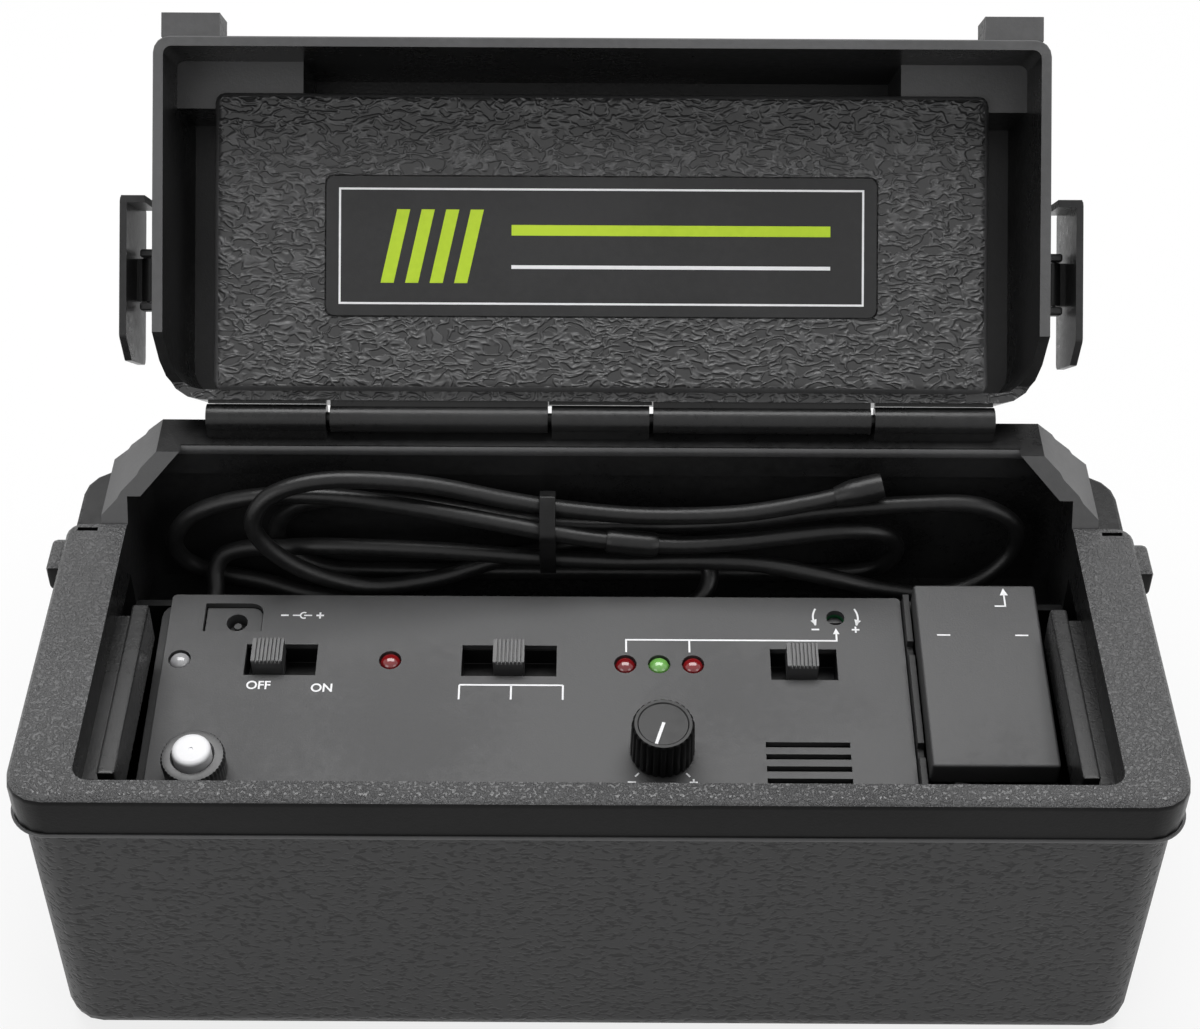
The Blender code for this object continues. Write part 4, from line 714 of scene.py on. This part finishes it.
def lid_marks(outlines):
    """Outlines given in x and d, put on the plate's visible face."""
    spots, faces = inked(outlines)
    local = np.column_stack([spots[:, 0], -spots[:, 1], PLATE_FACE + 0.02 - spots[:, 2]])
    return moved((local, faces), LID_TURN)


def border(left, right, low, high, wide):
    """Four strokes round a rectangle."""
    half = wide / 2
    return [stroke([(left - half, y), (right + half, y)], wide) for y in (low, high)] \
        + [stroke([(x, low + half), (x, high - half)], wide) for x in (left, right)]


white = border(-64.0, 64.0, 28.0, 56.0, 0.5) + [stroke([(-22.0, 37.0), (56.0, 37.0)], 0.9)]
lime = [[(-54.0 + 6.0 * k, 33.0), (-50.8 + 6.0 * k, 33.0), (-46.8 + 6.0 * k, 51.0), (-50.0 + 6.0 * k, 51.0)]
        for k in range(4)] + [stroke([(-22.0, 46.0), (56.0, 46.0)], 2.6)]
piece("plate_marks_white", lid_marks(white), "lid", WHITE_PRINT)
piece("plate_marks_lime", lid_marks(lime), "lid", LIME_PRINT)
print("plate marks:", len(white) + len(lime))

# %% [markdown]
# ## The instrument
# The panel slopes up to the rear by 6.7 degrees. Its own frame starts at its face over the case's middle, so
# a place on it is x, y along the slope and a height square to it. All its fittings are built flat in that
# frame and turned once.

# %% The panel, the tub and the cover
PANEL_Z, PANEL_SLOPE = 65.35, 6.7
FACE = Matrix.Translation((0.0, 0.0, PANEL_Z)) @ Matrix.Rotation(math.radians(PANEL_SLOPE), 4, "X")


def on_panel(shape, x=0.0, y=0.0):
    """The shape moved to a place on the panel."""
    return moved(shape, FACE @ Matrix.Translation((x, y, 0.0)))


softened("control_panel", "base", [PANEL_MATT], edge=0.12)
softened("instrument_tub", "base", [TUB_MATT], edge=0.3)
softened("sensor_cover", "base", [PANEL_MATT], edge=0.2)
softened("charger_jack", "base", [PANEL_MATT], edge=0.12)
for name in ("power_switch", "leak_size_switch", "mode_switch"):
    softened(name, "base", [SWITCH_PLASTIC], edge=0.12)
for look, names in ((SWITCH_PLASTIC, ("battery_pack", "sounder")),
                    (BOARD, ("circuit_board", "heater_trimmer")),
                    (STEEL, ("sampling_pump", "heated_sensor", "calibration_pot", "knob_shaft")),
                    (CAP_WHITE, ("reference_bottle",)), (BUTTON_PLASTIC, ("trimmer_screw",))):
    for name in names:
        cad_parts[name].data.materials[0] = look
print("panel fittings dressed")

# %% [markdown]
# ## Marks on the panel
# Only signs that any such panel has are printed: on and off at the power switch, plus and minus, the socket's
# polarity, the bracket of a three-step switch, the line from the lamps to the trimmer, and the arrows round
# it.

# %% Printed marks
PEN = 0.45
FINE_PEN = 0.4
SIGN = 1.9


def pen_line(*stops, wide=PEN):
    """One stroke for each step of a bent line."""
    return [stroke(pair, wide) for pair in zip(stops, stops[1:])]


def minus(x, y):
    """One short stroke."""
    return pen_line((x - SIGN / 2, y), (x + SIGN / 2, y))


def plus(x, y):
    """Two short strokes that cross."""
    return minus(x, y) + pen_line((x, y - SIGN / 2), (x, y + SIGN / 2))


def arrow(tip, toward, size=1.8):
    """A filled arrow head with its tip at a place, pointing along a direction."""
    toward = np.array(toward) / np.hypot(*toward)
    side = np.array([-toward[1], toward[0]])
    back = np.array(tip) - toward * size
    return [[tip, tuple(back + side * size * 0.45), tuple(back - side * size * 0.45)]]


def word(text, x, y, size):
    """Raised letters of the built-in font, centred at a place."""
    letters = bpy.data.curves.new(f"word_{text}", "FONT")
    letters.body = text
    letters.size = size
    letters.align_x, letters.align_y = "CENTER", "CENTER"
    letters.extrude = INK / 2
    letters.offset = size * 0.018
    holder = add_object(letters.name, letters)
    drawn = holder.evaluated_get(bpy.context.evaluated_depsgraph_get())
    mesh = bpy.data.meshes.new_from_object(drawn)
    bpy.data.objects.remove(holder)
    spots = np.empty(len(mesh.vertices) * 3)
    mesh.vertices.foreach_get("co", spots)
    faces = [list(p.vertices) for p in mesh.polygons]
    bpy.data.meshes.remove(mesh)
    return spots.reshape(-1, 3) + np.array([x, y, INK / 2]), faces


TRIM_X, TRIM_Y = 58.8, 21.9
KNOB_X, KNOB_Y = 15.1, -18.5
POLE_X, POLE_Y = -73.6, 21.8
marks = pen_line((-34.0, -3.6), (-34.0, 0.7), (-8.8, 0.7), (-8.8, -3.6))
marks += pen_line((-21.4, 0.7), (-21.4, -3.6))
marks += pen_line((6.6, 10.9), (6.6, 14.7)) + pen_line((22.2, 10.9), (22.2, 14.7))
marks += pen_line((6.4, 14.7), (58.9, 14.7)) + pen_line((58.7, 14.7), (58.7, 17.0))
marks += arrow((58.7, 18.6), (0, 1)) + minus(53.6, 18.2) + plus(63.6, 18.2)
for first, last, tip, way in ((205, 150, (53.9, 19.5), (0.35, -1)), (30, -25, (63.7, 19.5), (-0.35, -1))):
    marks += [stroke(arc(TRIM_X, TRIM_Y, 5.6, first, last), PEN)] + arrow(tip, way)
marks += minus(7.8, -27.3) + plus(22.4, -27.3) + minus(POLE_X - 4.8, POLE_Y) + plus(POLE_X + 4.0, POLE_Y)
marks.append(stroke(arc(POLE_X, POLE_Y, 0.9, 60, 300), 0.35))
marks += pen_line((POLE_X - 2.8, POLE_Y), (POLE_X - 0.9, POLE_Y), wide=0.35)
marks += pen_line((POLE_X, POLE_Y), (POLE_X + 2.0, POLE_Y), wide=0.35)
for turn in (-132, -48):
    ray = np.array([math.cos(math.radians(turn)), math.sin(math.radians(turn))])
    marks += pen_line((KNOB_X, KNOB_Y) + ray * 8.3, (KNOB_X, KNOB_Y) + ray * 9.7, wide=FINE_PEN)
printed = together(inked(marks, 0.01), word("OFF", -82.9, 0.2, 3.4), word("ON", -67.4, -0.5, 3.4))
piece("panel_marks", on_panel(printed), "base", WHITE_PRINT)
COVER_TOP = 8.0
cover_marks = []
for stops in (((82.2, 10.6), (85.4, 10.6)), ((101.2, 10.6), (104.4, 10.6)), ((97.2, 19.6), (99.8, 19.6)),
              ((99.8, 19.4), (99.8, 23.4))):
    cover_marks += pen_line(*stops, wide=FINE_PEN)
cover_marks += arrow((99.8, 25.2), (0, 1), 2.2)
piece("cover_marks", on_panel(inked(cover_marks, COVER_TOP + 0.01)), "base", WHITE_PRINT)
print("printed marks:", len(marks) + len(cover_marks))

# %% [markdown]
# ## Switches
# A slide switch's button is a short block with upright ribs, so that a finger grips it. Its profile, a row of
# ribs between two sides, is carried from front to rear.

# %% Ribbed buttons
SWITCHES = {"power": (-81.0, 8.1), "leak_size": (-22.1, 8.1), "mode": (49.6, 7.4)}
RIBS = 8


def ribbed(wide, low, high, notch):
    """Outline of a block whose top edge is a row of ribs: every second pair of points drops by the notch."""
    half = wide / 2
    pitch = wide / RIBS
    top = []
    for k in range(RIBS):
        right = half - k * pitch
        top += [(right, high), (right - pitch * 0.55, high)]
        if k < RIBS - 1:
            top += [(right - pitch * 0.68, high - notch), (right - pitch * 0.88, high - notch)]
    top[-1] = (-half, high)
    return [(-half, low), (half, low)] + top


for name, (x, y) in SWITCHES.items():
    button = prism(ribbed(7.6, -1.2, 4.2, 0.6), -3.7, 3.7, edge=0.25, across="y")
    foot = prism([(-3.2, -7.2), (3.2, -7.2), (3.2, -1.1), (-3.2, -1.1)], -4.4, 4.4, across="y")
    piece(f"{name}_button", on_panel(together(button, foot), x, y), f"{name}_slider",
          BUTTON_PLASTIC, [f"{name}_slider"])
print("buttons:", len(SWITCHES), "with", RIBS, "ribs each")

# %% [markdown]
# ## Lamps
# A 5 mm lamp is a clear dome. Its profile is a quarter of an ellipse, turned about its own axis, and the coat
# of its material gives the small bright glint.

# %% Lamp domes
LAMPS = {"charge_lamp": (-103.0, 8.1, CLEAR_LENS, "lamp_clear"),
         "battery_lamp": (-51.3, 8.1, RED_LENS, "lamp_red"), "low_lamp": (6.4, 7.3, RED_LENS, "lamp_red"),
         "ok_lamp": (14.7, 7.3, GREEN_LENS, "lamp_green"), "high_lamp": (23.0, 7.3, RED_LENS, "lamp_red")}
LENS_R, FLANGE_R, DOME_HIGH, DOME_TOP = 2.5, 3.2, 1.9, 0.6
bow = np.linspace(0.04, math.pi / 2, 12)
dome = [(LENS_R * math.sin(t), DOME_TOP - DOME_HIGH + DOME_HIGH * math.cos(t)) for t in bow]
flange = [(LENS_R, -1.9), (FLANGE_R, -1.9), (FLANGE_R, -3.1), (LENS_R, -3.1), (LENS_R, -6.0)]
for name, (x, y, look, slot_name) in LAMPS.items():
    piece(f"{name}_lens", on_panel(lathe(dome + flange, 40), x, y), "base", look, [name])
print("lamps:", len(LAMPS))

# %% [markdown]
# ## The calibration knob
# The knob is turned about its axis with a wave that cuts flutes into its side: the wave is a cosine made
# sharp by a power, and it fades out at the top. A white line on top shows where it stands.

# %% Knob and pointer
KNOB_R, KNOB_HIGH = 7.7, 11.5
FLUTES = 26


def fluted(turn):
    """0 on a rib and 1 in a flute: (half of 1 + cos of N turns) cubed."""
    return (0.5 + 0.5 * np.cos(FLUTES * turn)) ** 3


profile = [(3.4, 0.5), (KNOB_R, 0.5, 0.5), (KNOB_R, 0.9, 0.5), (KNOB_R - 0.1, 5.0, 0.5),
           (KNOB_R - 0.25, 10.4, 0.45), (KNOB_R - 0.45, 11.1, 0.3), (KNOB_R - 0.9, KNOB_HIGH),
           (KNOB_R - 1.6, KNOB_HIGH), (KNOB_R - 1.9, KNOB_HIGH - 0.25), (0.3, KNOB_HIGH - 0.25), (0.3, 8.8),
           (3.4, 8.8)]
piece("calibration_knob_skin", on_panel(lathe(profile, FLUTES * 8, fluted, loop=True), KNOB_X, KNOB_Y),
      "calibration_knob", SWITCH_PLASTIC, ["calibration_knob"])
way = np.array([-2.2, -7.2]) / np.hypot(2.2, 7.2)
pointer = prism(stroke([way * -0.4, way * 5.9], 0.75), KNOB_HIGH - 0.24, KNOB_HIGH - 0.02)
piece("knob_pointer", on_panel(pointer, KNOB_X, KNOB_Y), "calibration_knob", WHITE_PRINT)
print("flutes:", FLUTES)

# %% [markdown]
# ## The calibration reference
# The bottle's collar is knurled, a ring whose rim is a row of fine teeth, and the white cap sits in it.

# %% Collar and cap
REF_X, REF_Y = -95.0, -25.0
TEETH = 44


def knurled(turn):
    """0 on a tooth and 1 between two: half of 1 + the cosine of so many turns."""
    return 0.5 + 0.5 * np.cos(TEETH * turn)


ring = [(4.9, 1.5), (4.9, 6.6), (5.2, 7.0), (6.4, 7.0), (7.2, 6.8, 0.1), (7.6, 6.3, 0.45), (7.6, 5.0, 0.45),
        (7.45, 4.8, 0.1), (7.45, 0.6), (7.2, 0.3), (0.3, 0.3), (0.3, 1.5)]
piece("reference_collar_skin", on_panel(lathe(ring, TEETH * 6, knurled, loop=True), REF_X, REF_Y), "base",
      BUTTON_PLASTIC, ["reference_collar"])
cap = [(0.05, 9.3), (0.35, 9.35), (0.5, 9.55), (3.2, 9.6), (4.0, 9.5), (4.45, 9.1), (4.6, 8.6), (4.6, 1.8),
       (0.05, 1.8)]
piece("reference_cap_skin", on_panel(lathe(cap, 64), REF_X, REF_Y), "base", CAP_WHITE,
      ["reference_cap"])
print("teeth:", TEETH)

# %% [markdown]
# ## Floor and light
# The object stands on a pale floor in a plain studio. A large soft lamp overhead and slightly behind draws
# the long glints on the black plastic, and two weaker ones open up the front. The white of the background is
# seen by the camera and in reflections only. What it throws on the object otherwise is a much dimmer grey.

# %% Floor, world and lamps
WHITE = (1.0, 1.0, 1.0, 1.0)
FLOOR_HALF, FLOOR_Z = 4.0, -0.0005
FLOOR_GLOW = 0.8
WORLD_DIM = 0.22


def seen(tree):
    """1 for the rays of the camera, of glass and of reflections, and 0 for those that light things."""
    path = add_node(tree, "ShaderNodeLightPath").outputs
    direct = math_node(tree, "MAXIMUM", path["Is Camera Ray"], path["Is Transmission Ray"])
    return math_node(tree, "MAXIMUM", direct, path["Is Glossy Ray"])


floor_mesh = bpy.data.meshes.new("floor")
corners = ((-1, -1), (1, -1), (1, 1), (-1, 1))
floor_mesh.from_pydata([(x * FLOOR_HALF, y * FLOOR_HALF, FLOOR_Z) for x, y in corners], [], [(0, 1, 2, 3)])
floor = add_object("floor", floor_mesh)
white_floor = bpy.data.materials.new("floor_white")
white_floor.use_nodes = True
tree = white_floor.node_tree
base_shader = tree.nodes["Principled BSDF"]
base_shader.inputs["Base Color"].default_value = (0.85, 0.85, 0.85, 1.0)
base_shader.inputs["Roughness"].default_value = 0.9
glow = add_node(tree, "ShaderNodeEmission", {"Color": WHITE, "Strength": 1.0})
share = math_node(tree, "MULTIPLY", seen(tree), FLOOR_GLOW)
lit = add_node(tree, "ShaderNodeMixShader", {0: share, 1: base_shader.outputs[0], 2: glow.outputs[0]})
tree.links.new(lit.outputs[0], tree.nodes["Material Output"].inputs["Surface"])
floor_mesh.materials.append(white_floor)

world = bpy.data.worlds.new("studio")
bpy.context.scene.world = world
world.use_nodes = True
tree = world.node_tree
tree.nodes.clear()
dim, bright = (add_node(tree, "ShaderNodeBackground", {"Color": WHITE, "Strength": strength}).outputs[0]
               for strength in (WORLD_DIM, 1.0))
sky = add_node(tree, "ShaderNodeMixShader", {0: seen(tree), 1: dim, 2: bright})
add_node(tree, "ShaderNodeOutputWorld", {"Surface": sky.outputs[0]})


def softbox(name, place_at, aim, wide, deep, watts):
    """A rectangular area lamp that faces a point."""
    data = bpy.data.lights.new(name, "AREA")
    data.shape = "RECTANGLE"
    data.size, data.size_y, data.energy = wide, deep, watts
    facing = (Vector(aim) - Vector(place_at)).to_track_quat("-Z", "Y").to_matrix().to_4x4()
    add_object(name, data).matrix_world = Matrix.Translation(place_at) @ facing


softbox("overhead", (0.0, 0.36, 1.10), (0.0, 0.0, 0.05), 1.1, 0.6, 14.0)
softbox("front_left", (-0.9, -1.0, 0.75), (0.0, 0.0, 0.06), 0.8, 0.8, 4.0)
softbox("front_right", (1.0, -0.8, 0.7), (0.0, 0.0, 0.06), 0.7, 0.7, 2.5)
